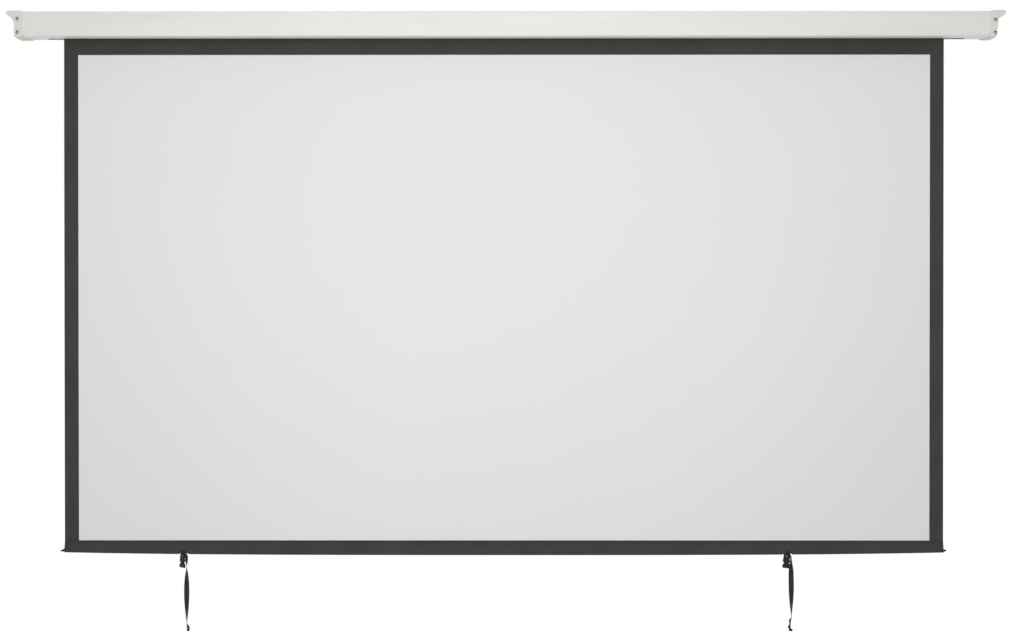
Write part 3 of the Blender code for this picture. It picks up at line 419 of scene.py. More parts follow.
def arc(before: Vector, corner: Vector, after: Vector, radius: float, steps: int) -> List[Spot]:
    """Rounds one corner of an outline.

    Args:
        before: The corner before it.
        corner: The corner itself.
        after: The corner after it.
        radius: The rounding's radius.
        steps: Straight steps in the rounding.

    Returns:
        Points along the rounding.
    """
    if radius <= 0:
        return [tuple(corner)]
    into = (before - corner).normalized()
    out = (after - corner).normalized()
    half = into.angle(out) / 2
    reach = radius / math.tan(half)
    start = corner + into * reach
    middle = corner + (into + out).normalized() * (radius / math.sin(half))
    first = start - middle
    sweep = first.angle_signed(corner + out * reach - middle)
    return [tuple(middle + Matrix.Rotation(-sweep * step / steps, 2) @ first) for step in range(steps + 1)]


def rounded(corners: Sequence[Corner], steps: int = 8) -> List[Spot]:
    """Draws a closed outline with round corners.

    Args:
        corners: Each corner as (across, up, radius).
        steps: Straight steps in each rounding.

    Returns:
        The outline's points.
    """
    spots = [Vector(corner[:2]) for corner in corners]
    points: List[Spot] = []
    for index, spot in enumerate(spots):
        after = spots[(index + 1) % len(spots)]
        points += arc(spots[index - 1], spot, after, corners[index][2], steps)
    return points


def add(name: str, data: bpy.types.ID) -> bpy.types.Object:
    """Puts a mesh or a curve in the scene.

    Args:
        name: The object's name.
        data: Its mesh or curve.

    Returns:
        The object.
    """
    obj = bpy.data.objects.new(name, data)
    bpy.context.scene.collection.objects.link(obj)
    return obj


def store(name: str, shape: bmesh.types.BMesh) -> bpy.types.Object:
    """Puts a shape that is being built in the scene.

    Args:
        name: The object's name.
        shape: The shape, which is freed.

    Returns:
        The mesh object.
    """
    mesh = bpy.data.meshes.new(name)
    bmesh.ops.recalc_face_normals(shape, faces=shape.faces)
    shape.to_mesh(mesh)
    shape.free()
    return add(name, mesh)


def prism(name: str, outlines: Sequence[Sequence[Spot]], span: Spot, axis: Axis) -> bpy.types.Object:
    """Extrudes filled outlines along an axis.

    Args:
        name: The object's name.
        outlines: The outer outline and any holes, drawn across the axis.
        span: Where it starts and ends on the axis.
        axis: The direction of the extrusion.

    Returns:
        The mesh object.
    """
    curve = bpy.data.curves.new(name + "_outline", "CURVE")
    curve.dimensions = "2D"
    curve.fill_mode = "BOTH"
    curve.extrude = abs(span[1] - span[0]) / 2
    for outline in outlines:
        spline = curve.splines.new("POLY")
        spline.points.add(len(outline) - 1)
        for point, spot in zip(spline.points, outline):
            point.co = (*spot, 0, 1)
        spline.use_cyclic_u = True
    drawn = add(name + "_outline", curve)
    bpy.context.view_layer.update()
    flat = bpy.data.meshes.new_from_object(drawn.evaluated_get(bpy.context.evaluated_depsgraph_get()))
    bpy.data.objects.remove(drawn)
    shape = bmesh.new()
    shape.from_mesh(flat)
    bmesh.ops.remove_doubles(shape, verts=shape.verts, dist=1e-6)
    turn = Matrix(axis.value)
    middle = (span[0] + span[1]) / 2
    move = Matrix.Translation([abs(part) * middle for part in turn.col[2]])
    bmesh.ops.transform(shape, matrix=move @ turn.to_4x4(), verts=shape.verts)
    bpy.data.meshes.remove(flat)
    return store(name, shape)


def block(name: str, low: Point, high: Point) -> bpy.types.Object:
    """Makes a box between two corners.

    Args:
        name: The object's name.
        low: Its lowest corner.
        high: Its highest corner.

    Returns:
        The mesh object.
    """
    sides = [b - a for a, b in zip(low, high)]
    middle = [(a + b) / 2 for a, b in zip(low, high)]
    shape = bmesh.new()
    bmesh.ops.create_cube(shape, size=1, matrix=Matrix.Translation(middle) @ Matrix.Diagonal((*sides, 1)))
    return store(name, shape)


def pillar(name: str, radius: float, long: float, at: Point, axis: Axis, steps: int = 32) -> bpy.types.Object:
    """Makes a round bar centred on a point.

    Args:
        name: The object's name.
        radius: Its radius.
        long: Its length.
        at: Its centre.
        axis: The direction that it lies in.
        steps: Sides of the circle.

    Returns:
        The mesh object.
    """
    shape = bmesh.new()
    place = Matrix.Translation(at) @ axis.upright_turn
    bmesh.ops.create_cone(
        shape, cap_ends=True, segments=steps, radius1=radius, radius2=radius, depth=long, matrix=place
    )
    return store(name, shape)


def combine(obj: bpy.types.Object, other: bpy.types.Object, operation: str = "DIFFERENCE") -> None:
    """Applies an exact Boolean and drops the second shape.

    Args:
        obj: The shape that stays.
        other: The shape that cuts, joins or crops it.
        operation: The kind of Boolean.
    """
    step = obj.modifiers.new("step", "BOOLEAN")
    step.operation = operation
    step.solver = "EXACT"
    step.object = other
    apply_all(obj)
    bpy.data.objects.remove(other)


def join(obj: bpy.types.Object, others: Sequence[bpy.types.Object]) -> None:
    """Puts the meshes of several pieces into one, and drops those pieces.

    Args:
        obj: The piece that keeps them.
        others: The pieces that are taken in.
    """
    shape = bmesh.new()
    shape.from_mesh(obj.data)
    for other in others:
        shape.from_mesh(other.data)
        bpy.data.objects.remove(other)
    shape.to_mesh(obj.data)
    shape.free()


def apply_all(obj: bpy.types.Object) -> None:
    """Makes an object's modifiers part of its mesh.

    Args:
        obj: The object.
    """
    bpy.context.view_layer.update()
    made = bpy.data.meshes.new_from_object(obj.evaluated_get(bpy.context.evaluated_depsgraph_get()))
    obj.modifiers.clear()
    obj.data = made


def soften(obj: bpy.types.Object, width: float, segments: int, angle: float) -> None:
    """Rounds the sharp edges a little and shades the rest smoothly.

    Args:
        obj: The object.
        width: Width of the rounding.
        segments: Steps in the rounding.
        angle: Edges sharper than this, in degrees, are rounded.
    """
    for face in obj.data.polygons:
        face.use_smooth = True
    edge = obj.modifiers.new("edges", "BEVEL")
    edge.width = width
    edge.segments = segments
    edge.limit_method = "ANGLE"
    edge.angle_limit = math.radians(angle)
    edge.harden_normals = True


def loft(name: str, rows: Sequence[Sequence[Point]]) -> bpy.types.Object:
    """Skins a tube through closed sections, caps it and unwraps it in millimetres along and around.

    Args:
        name: The object's name.
        rows: The sections, each a ring of points.

    Returns:
        The mesh object.
    """
    shape = bmesh.new()
    layer = shape.loops.layers.uv.new("cloth")
    rings = [[shape.verts.new(point) for point in row] for row in rows]
    count = len(rows[0])
    around, along = [0.0], [0.0]
    for first, second in zip(rows[0], [*rows[0][1:], rows[0][0]]):
        around.append(around[-1] + (Vector(second) - Vector(first)).length * 1000)
    for upper, lower in zip(rows, rows[1:]):
        along.append(along[-1] + (Vector(lower[0]) - Vector(upper[0])).length * 1000)
    for level, (upper, lower) in enumerate(zip(rings, rings[1:])):
        for index in range(count):
            after = (index + 1) % count
            face = shape.faces.new((upper[index], lower[index], lower[after], upper[after]))
            face.smooth = True
            places = ((index, level), (index, level + 1), (index + 1, level + 1), (index + 1, level))
            for loop, (place, step) in zip(face.loops, places):
                loop[layer].uv = (around[place], along[step])
    shape.faces.new(rings[0])
    shape.faces.new(rings[-1][::-1])
    return store(name, shape)


def dress(obj: bpy.types.Object, material: bpy.types.Material, body: str) -> None:
    """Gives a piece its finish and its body.

    Args:
        obj: The piece.
        material: Its finish.
        body: The body that it moves with.
    """
    obj.data.materials.clear()
    obj.data.materials.append(material)
    for face in obj.data.polygons:
        face.material_index = 0
    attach(obj, body)
    LOG.info("built %s on %s", obj.name, body)


# The casing and its caps


@dataclass
class Casing:
    """The long painted extrusion with the slot in its underside."""

    half: float = 1.253
    high: float = 0.064
    deep: float = 0.062
    wall: float = 0.001
    nose: float = 0.008
    edge: float = 0.002
    slot_half: float = 1.191
    slot_ys: Spot = (-0.023, -0.005)
    slot_cut: Spot = (-0.002, 0.004)
    access_xs: Spot = (1.206, 1.217)
    access_y: float = -0.0346
    access_radius: float = 0.003
    screw_x: float = 1.238
    screw_ys: Spot = (-0.020, -0.044)
    screw_radius: float = 0.0017
    gland: Spot = (1.213, -0.0125)
    gland_radius: float = 0.0052
    drill: float = 0.008
    soft_edge: float = 0.00025

    def section(self, grow: float) -> List[Spot]:
        """Draws the casing's section in Y and Z.

        Args:
            grow: How far outside the real surface it is drawn.

        Returns:
            The outline.
        """
        front, top = -self.deep - grow, self.high / 2 + grow
        edge = max(self.edge + grow, 0.0006)
        nose = self.nose + grow
        return rounded([(front, -top, nose), (grow, -top, edge), (grow, top, edge), (front, top, edge)], 10)

    def build(self, finishes: Finishes) -> None:
        """Builds the casing and lets it stand for the plain one.

        Args:
            finishes: The object's finishes.
        """
        walls = [self.section(0), self.section(-self.wall)]
        shell = prism("casing_extrusion", walls, (-self.half, self.half), Axis.X)
        low, top = -self.high / 2, self.high / 2
        below, above = self.slot_cut
        start = (-self.slot_half, self.slot_ys[0], low + below)
        combine(shell, block("slot_cut", start, (self.slot_half, self.slot_ys[1], low + above)))
        holes = [(self.access_radius, (x, self.access_y, low), 24) for x in self.access_xs]
        for x in (-self.screw_x, self.screw_x):
            holes += [(self.screw_radius, (x, y, top), 20) for y in self.screw_ys]
        holes.append((self.gland_radius, (*self.gland, top), 28))
        for radius, at, steps in holes:
            combine(shell, pillar("hole_cut", radius, self.drill, at, Axis.Z, steps))
        soften(shell, self.soft_edge, 2, 40)
        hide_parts("casing_shell")
        dress(shell, finishes.paint, "casing")


@dataclass(frozen=True)
class CapForm:
    """What differs between the two caps: the slant of the seam, the screws' heights and the outer edge."""

    seams: Spot
    screw_zs: Spot
    ear: Tuple[Corner, ...]


CAP_FORMS = {
    Side.LEFT: CapForm(
        (1.2467, 1.2467),
        (0.013, -0.0215),
        (
            (1.2664, -0.0344, 0.0035),
            (1.2666, -0.0013, 0.01),
            (1.2688, 0.0075, 0.01),
            (1.2724, 0.0144, 0.008),
            (1.2784, 0.0193, 0.008),
            (1.2848, 0.0234, 0.002),
            (1.2871, 0.0268, 0.002),
            (1.2859, 0.0342, 0.005),
        ),
    ),
    Side.RIGHT: CapForm(
        (1.2496, 1.2440),
        (0.0095, -0.0243),
        (
            (1.2612, -0.0344, 0.0018),
            (1.2640, -0.0093, 0),
            (1.2657, 0.0064, 0),
            (1.2668, 0.0128, 0.002),
            (1.2722, 0.0163, 0.003),
            (1.2824, 0.0222, 0.003),
            (1.2848, 0.0285, 0.002),
            (1.2838, 0.0342, 0.0048),
        ),
    ),
}


@dataclass
class EndCap:
    """A moulded cap with a flared ear, a rim over the casing, a tongue under it and two screw recesses."""

    side: Side
    top: float = 0.0342
    bottom: float = -0.0344
    front: float = -0.0635
    nose: float = 0.004
    edge: float = 0.0012
    top_round: float = 0.0025
    back_round: float = 0.001
    seam_round: float = 0.0018
    cut_xs: Spot = (1.2, 1.3)
    tongue_xs: Spot = (1.2330, 1.252)
    tongue_ys: Spot = (-0.012, -0.0004)
    case_top: float = 0.032
    case_front: float = -0.062
    case_half: float = 1.253
    socket_back: float = 0.004
    socket_rounds: Spot = (0.0052, 0.0006)
    hollow_xs: Spot = (1.25, 1.2618)
    hollow_top: float = 0.029
    hollow_slope: Spot = (0.002, -0.014)
    hollow_ys: Spot = (-0.0565, -0.003)
    screw_x: float = 1.2574
    screw_floor: float = -0.059
    moat_floor: float = -0.0562
    # Inner and outer radius of the ring-shaped recess
    moat_radii: Spot = (0.0036, 0.0047)
    bore_radius: float = 0.002
    bore_deep: float = 0.012
    hole_x: float = 1.2755
    hole_ys: Spot = (-0.016, -0.048)
    hole_radius: float = 0.0025
    hole_z: float = 0.026
    soft_edge: float = 0.0004

    @property
    def form(self) -> CapForm:
        """The outline and heights of this side's cap."""
        return CAP_FORMS[self.side]

    def across(self, near: float, far: float) -> Spot:
        """Gives a span between two distances from the middle, as places on X in rising order."""
        return tuple(sorted((self.side.value * near, self.side.value * far)))

    def moulding(self) -> bpy.types.Object:
        """Extrudes the cap as seen from the front and rounds its front edge.

        Returns:
            The solid moulding.
        """
        sign = self.side.value
        head, foot = self.form.seams
        corners = [(foot, self.bottom, self.seam_round), *self.form.ear, (head, self.top, self.seam_round)]
        outline = rounded([(sign * out, up, radius) for out, up, radius in corners[::sign]])
        cap = prism(f"{self.side.label}_cap_moulding", [outline], (self.front, 0.006), Axis.Y)
        shape = bmesh.new()
        shape.from_mesh(cap.data)
        bmesh.ops.dissolve_limit(shape, angle_limit=0.01, verts=shape.verts, edges=shape.edges)
        near = [edge for edge in shape.edges if all(vert.co.y < self.front + 1e-5 for vert in edge.verts)]
        rim = [edge for edge in near if len(edge.link_faces) == 2 and edge.calc_face_angle() > 0.5]
        bmesh.ops.bevel(shape, geom=rim, offset=self.edge, segments=5, profile=0.5, affect="EDGES")
        shape.to_mesh(cap.data)
        shape.free()
        return cap

    def sink_screw(self, cap: bpy.types.Object, up: float) -> None:
        """Cuts one screw's recess: a ring-shaped moat round a flat boss, and the bore in the boss.

        Args:
            cap: The cap.
            up: The screw's height.
        """
        x = self.side.value * self.screw_x
        boss_radius, sink_radius = self.moat_radii
        deep = self.moat_floor - self.screw_floor
        at = (x, self.moat_floor - self.bore_deep / 2, up)
        sink = pillar("sink", sink_radius, self.bore_deep, at, Axis.Y, 40)
        at = (x, (self.screw_floor + self.moat_floor) / 2 + 0.0005, up)
        combine(sink, pillar("boss", boss_radius, deep + 0.001, at, Axis.Y))
        combine(cap, sink)
        at = (x, self.screw_floor, up)
        combine(cap, pillar("bore", self.bore_radius, self.bore_deep, at, Axis.Y, 24))

    def build(self, finishes: Finishes) -> None:
        """Builds the cap and lets it stand for the plain one.

        Args:
            finishes: The object's finishes.
        """
        sign, label = self.side.value, self.side.label
        cap = self.moulding()
        profile = [(self.front, self.bottom, self.nose), (0, self.bottom, self.back_round)]
        profile += [(0, self.top, self.back_round), (self.front, self.top, self.top_round)]
        combine(cap, prism("profile", [rounded(profile, 10)], self.across(*self.cut_xs), Axis.X), "INTERSECT")
        near, far = self.across(*self.tongue_xs)
        under = -self.case_top - GAP
        start = (near, self.tongue_ys[0], self.bottom)
        combine(cap, block("tongue", start, (far, self.tongue_ys[1], under + 0.0001)), "UNION")
        front, back, top = self.case_front - GAP, self.socket_back, self.case_top + GAP
        low_round, top_round = self.socket_rounds
        socket = [(front, -top, low_round), (back, -top, 0), (back, top, 0), (front, top, top_round)]
        span = self.across(self.cut_xs[0], self.case_half + GAP)
        combine(cap, prism("socket", [rounded(socket, 10)], span, Axis.X))
        (start, end), up = self.hollow_xs, self.hollow_top
        slope, slope_top = self.hollow_slope
        hollow = [(start, -up), (end - slope, -up), (end, slope_top), (end, up), (start, up)]
        outline = rounded([(sign * out, high, 0) for out, high in hollow[::sign]])
        combine(cap, prism("hollow", [outline], self.hollow_ys, Axis.Y))
        for y in self.hole_ys:
            at = (sign * self.hole_x, y, self.hole_z)
            combine(cap, pillar("hole", self.hole_radius, 0.04, at, Axis.Z, 28))
        for z in self.form.screw_zs:
            self.sink_screw(cap, z)
        soften(cap, self.soft_edge, 3, 30)
        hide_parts(f"{label}_end_cap")
        dress(cap, finishes.cap, "casing")
        self.shade(cap, finishes)

    def shade(self, cap: bpy.types.Object, finishes: Finishes) -> None:
        """Paints shade into the depths of the screw recesses, as a darker plastic on the faces there.

        Args:
            cap: The finished cap.
            finishes: The object's finishes.
        """
        reach = self.moat_radii[1] + 0.0001
        # Painted shade: the second material darkens the recess walls where little light reaches
        cap.data.materials.append(finishes.painted_recess_shade)
        for face in cap.data.polygons:
            x, y, z = face.center
            if not self.front + 0.0008 < y < self.moat_floor + 0.0002:
                continue
            for up in self.form.screw_zs:
                if math.hypot(x - self.side.value * self.screw_x, z - up) < reach:
                    face.material_index = 1


# The sheet, its hem and its bar


@dataclass
class Sheet:
    """The cloth, the white coat on its front, the hem round the bowed bar and the turns on the roller."""

    left: float = -1.1499
    right: float = 1.1371
    plane: float = -0.014
    thick: float = 0.0004
    bottom: float = -1.350
    lift: float = 1.323
    coat_share: float = 0.82
    view_x: float = -0.0059
    view_wide: float = 2.214
    view_zs: Spot = (-0.0734, -1.3365)
    coat_thick: float = 0.0003
    bow: float = 0.007
    hem_bottom: float = -1.3664
    hem_half: float = 0.0068
    hem_round: float = 0.009
    bar_round: float = 0.0046
    # Height, and half the distance between its two faces
    neck: Spot = (-1.3372, 0.00055)
    full: float = -1.3592
    cloth: float = 0.0003
    # How far the sleeve droops everywhere, and how much more halfway out
    slack: Spot = (0.0014, 0.0013)
    cinches: Spot = (-0.839, 0.7323)
    cinch_half: float = 0.0115
    wave_high: float = 0.0011
    # Each wave's share of the height, its rate across, where it starts and its rate upward
    waves: Tuple[Tuple[float, float, float, float], ...] = ((0.6, 2.1, 0.4, 0.0), (0.4, 5.3, -1.1, 1.7))
    seam_z: float = -1.3402
    # Pitch, length and thickness
    stitch: Point = (0.0042, 0.0028, 0.0003)
    # The roller's axis on Y, and its radius
    roller: Spot = (-0.0343, 0.01925)
    turns: float = 2.0
    turn_gap: float = 0.00005

    def off_middle(self, x: float) -> float:
        """Gives the square of a place's distance from the bar's middle, as a share of half the bar."""
        middle, half = (self.left + self.right) / 2, (self.right - self.left) / 2
        return ((x - middle) / half) ** 2

    def sag(self, x: float) -> float:
        """Tells how far the bar hangs below its ends at a place along it."""
        return self.bow * max(0.0, 1 - self.off_middle(x))

    def droop(self, x: float) -> float:
        """Tells how far the slack sleeve hangs below the bar, away from the straps that cinch it.

        Args:
            x: A place along it.

        Returns:
            The drop in metres.
        """
        share = min(1.0, self.off_middle(x))
        free = 1.0
        for cinch in self.cinches:
            free *= 1 - math.exp(-(((x - cinch) / self.cinch_half) ** 6))
        return free * (self.slack[0] + self.slack[1] * 4 * share * (1 - share))

    def ripple(self, x: float, z: float) -> float:
        """Tells how far the hanging cloth stands off its plane.

        Args:
            x: Place across.
            z: Height.

        Returns:
            The offset towards the wall.
        """
        share = min(1.0, max(0.0, z / self.bottom))
        calm = math.sin(math.pi * share)
        height = sum(part * math.sin(across * x + start + up * z) for part, across, start, up in self.waves)
        return self.wave_high * calm * height

    def panel(self, name: str, xs: Spot, zs: Spot, front: float, thick: float) -> bpy.types.Object:
        """Builds a thin hanging panel that follows the ripples, with crisp cut edges.

        Args:
            name: The object's name.
            xs: Its left and right edges.
            zs: Its top and bottom edges.
            front: The plane of its front.
            thick: Its thickness.

        Returns:
            The panel.
        """
        across, down = 96, 60
        shape = bmesh.new()
        grids = []
        for offset in (0.0, thick):
            rows = []
            for row in range(down + 1):
                z = zs[0] + (zs[1] - zs[0]) * row / down
                line = []
                for step in range(across + 1):
                    x = xs[0] + (xs[1] - xs[0]) * step / across
                    line.append(shape.verts.new((x, front + offset + self.ripple(x, z), z)))
                rows.append(line)
            grids.append(rows)
        for rows in grids:
            for upper, lower in zip(rows, rows[1:]):
                for a, b, c, d in zip(upper, lower, lower[1:], upper[1:]):
                    shape.faces.new((a, b, c, d)).smooth = True
        near, far = grids
        ways = [((row, edge), (row + 1, edge)) for row in range(down) for edge in (0, -1)]
        ways += [((edge, step), (edge, step + 1)) for edge in (0, -1) for step in range(across)]
        for (row, step), (next_row, next_step) in ways:
            rim = (near[row][step], near[next_row][next_step], far[next_row][next_step], far[row][step])
            for edge in shape.faces.new(rim).edges:
                edge.smooth = False
        return store(name, shape)

    def build(self, finishes: Finishes) -> None:
        """Builds the cloth, the coat, the hem with its seam and the turns on the roller.

        Args:
            finishes: The object's finishes.
        """
        keep = (self.lift + self.bottom) / self.bottom
        front = self.plane - self.thick / 2
        cloth = self.panel("sheet_cloth", (self.left, self.right), (0.0, self.bottom), front, self.thick)
        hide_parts("screen_fabric")
        dress(cloth, finishes.cloth, "bar")
        xs = (self.view_x - self.view_wide / 2, self.view_x + self.view_wide / 2)
        coat = self.panel("white_coat", xs, self.view_zs, front - GAP - self.coat_thick, self.coat_thick)
        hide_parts("viewing_surface")
        dress(coat, finishes.coat, "bar")
        for piece, share in ((cloth, keep), (coat, keep * self.coat_share)):
            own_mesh(piece)
        hem = self.hem()
        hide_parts("hem_pocket")
        dress(hem, finishes.cloth, "bar")
        seam = self.seam()
        dress(seam, finishes.thread, "bar")
        wrap = self.wrap()
        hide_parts("fabric_wrap")
        dress(wrap, finishes.cloth, "roller")

    def hem(self) -> bpy.types.Object:
        """Builds the sleeve of cloth that runs down round the bar and up again to the seam.

        Returns:
            The hem.
        """
        y, (neck_z, neck) = self.plane, self.neck
        faces = []
        for thin in (0.0, self.cloth):
            half, low = self.hem_half - thin, self.hem_bottom + thin
            points = [(y - neck + thin, neck_z, 0), (y - half, self.full, self.hem_round - thin)]
            points += [(side, low, self.bar_round - thin) for side in (y - half, y + half)]
            points += [(y + half, self.full, self.hem_round - thin), (y + neck - thin, neck_z, 0)]
            faces.append(points)
        outer, inner = faces
        outline = rounded(outer + inner[::-1])
        steps, near, fine = 160, 16, 0.001
        places = [self.left + (self.right - self.left) * step / steps for step in range(steps + 1)]
        places += [cinch + fine * step for cinch in self.cinches for step in range(-near, near + 1)]
        rows = []
        for x in sorted(places):
            row = []
            for across, up in outline:
                share = min(1.0, max(0.0, (neck_z - up) / (neck_z - self.full)))
                row.append((x, across, up - (self.sag(x) + self.droop(x)) * share))
            rows.append(row)
        return loft("hem_sleeve", rows)

    def seam(self) -> bpy.types.Object:
        """Sews the hem shut with a row of thread on both faces.

        Returns:
            The stitches.
        """
        pitch, long, thick = self.stitch
        share = (self.neck[0] - self.seam_z) / (self.neck[0] - self.full)
        spots = []
        for face in (-1, 1):
            y = self.plane + face * (self.neck[1] + (self.hem_half - self.neck[1]) * share)
            for count in range(int((self.right - self.left) / pitch)):
                x = self.left + pitch * (count + 0.5)
                z = self.seam_z - (self.sag(x) + self.droop(x)) * share
                spots.append(Vector((x, y, z)))
        return stitches("hem_seam", spots, long, thick)

    def wrap(self) -> bpy.types.Object:
        """Winds the turns of cloth that stay on the roller.

        Returns:
            The turns.
        """
        middle, radius = self.roller
        lap = self.thick + self.turn_gap
        ring: List[Spot] = []
        steps = int(48 * self.turns)
        for side in (0.0, self.thick):
            line = []
            for step in range(steps + 1):
                angle = 2 * math.pi * self.turns * step / steps
                reach = radius + side + lap * self.turns * step / steps
                line.append((middle + reach * math.cos(angle), reach * math.sin(angle)))
            ring += line if side == 0.0 else line[::-1]
        rows = [[(x, y, z) for y, z in ring] for x in (self.left, (self.left + self.right) / 2, self.right)]
        return loft("roller_turns", rows)


# The straps and their buckles


# Places down each tail: drop in millimetres, twist from edge-on in degrees and stray sideways in millimetres
TAILS: Dict[Side, Tuple[Point, ...]] = {
    Side.LEFT: (
        (0, 6, 0), (4.5, 20, 0), (9.4, 33, -0.3), (13, 40, -1.4), (19, 38, -1.6), (26, 23, -1.4),
        (32, 13, -1.1), (36, 9, -1.1), (60, -31, -1.1), (100, -79, -1.1), (140, -124, -1.1),
        (180.7, -169.2, -1.1), (184, -173, -0.7), (188, -188, 1.4), (191.4, -198, 2.8), (197, -199, 2.8),
        (212, -190, 2.5),
    ),
    Side.RIGHT: (
        (0, 2, 0), (7, 4, 1.2), (22, 16, 1.9), (34, 38, 1.9), (50, 62, 2.1), (76, 81, 2.5), (120, 125, 2.8),
        (160, 168, 3.0), (166, 173, 2.8), (173, 191, -0.9), (183, 184, -0.9), (190.6, 202, -2.6),
        (197, 213, 1.3), (212, 205, 3.5),
    ),
}


def ease(spots: Sequence[Spot], at: float) -> float:
    """Reads a value from a smooth line through points, without overshooting them.

    Args:
        spots: The points, as (place, value) in rising order of place.
        at: The place to read.

    Returns:
        The value there.
    """
    slopes = [(b[1] - a[1]) / (b[0] - a[0]) for a, b in zip(spots, spots[1:])]
    rates = [slopes[0]]
    rates += [2 * a * b / (a + b) if a * b > 0 else 0.0 for a, b in zip(slopes, slopes[1:])]
    rates.append(slopes[-1])
    index = max(0, min(len(slopes) - 1, sum(1 for spot in spots[1:] if spot[0] <= at)))
    (start, low), (end, high) = spots[index], spots[index + 1]
    wide = end - start
    t = min(1.0, max(0.0, (at - start) / wide))
    first = (2 * t**3 - 3 * t**2 + 1) * low + (t**3 - 2 * t**2 + t) * wide * rates[index]
    return first + (3 * t**2 - 2 * t**3) * high + (t**3 - t**2) * wide * rates[index + 1]


def stitches(name: str, spots: Sequence[Vector], long: float, thick: float) -> bpy.types.Object:
    """Lays short lengths of thread along X, each thin at its ends where it dives into the cloth.

    Args:
        name: The object's name.
        spots: The middle of each stitch.
        long: A stitch's length.
        thick: The thread's diameter.

    Returns:
        The stitches as one mesh.
    """
    shape = bmesh.new()
    along, side, up = Vector((1, 0, 0)), Vector((0, -1, 0)), Vector((0, 0, -1))
    for middle in spots:
        rings = []
        for place, swell in ((-0.5, 0.35), (-0.28, 1.0), (0.28, 1.0), (0.5, 0.35)):
            ring = []
            for corner in range(6):
                angle = math.pi * corner / 3
                out = (side * math.cos(angle) + up * math.sin(angle)) * thick / 2 * swell
                ring.append(shape.verts.new(middle + along * long * place + out))
            rings.append(ring)
        for first, second in zip(rings, rings[1:]):
            for index in range(6):
                after = (index + 1) % 6
                shape.faces.new((first[index], second[index], second[after], first[after])).smooth = True
        shape.faces.new(rings[0])
        shape.faces.new(rings[-1][::-1])
    return store(name, shape)


def web_ring(middle: Vector, along: Vector, out: Vector, half: float, thick: float) -> List[Point]:
    """Draws the section of a length of webbing, with its rounded selvedges.

    Args:
        middle: The section's middle.
        along: Direction of its width.
        out: Direction that its face looks in.
        half: Half of its width.
        thick: Its thickness.

    Returns:
        The section's points.
    """
    form = ((-1, -0.4), (-0.97, -0.85), (-0.9, -1), (0, -1), (0.9, -1), (0.97, -0.85), (1, -0.4))
    ring = [(way, face) for way, face in form] + [(way, -face) for way, face in form[::-1]]
    return [tuple(middle + along * half * way + out * thick / 2 * face) for way, face in ring]


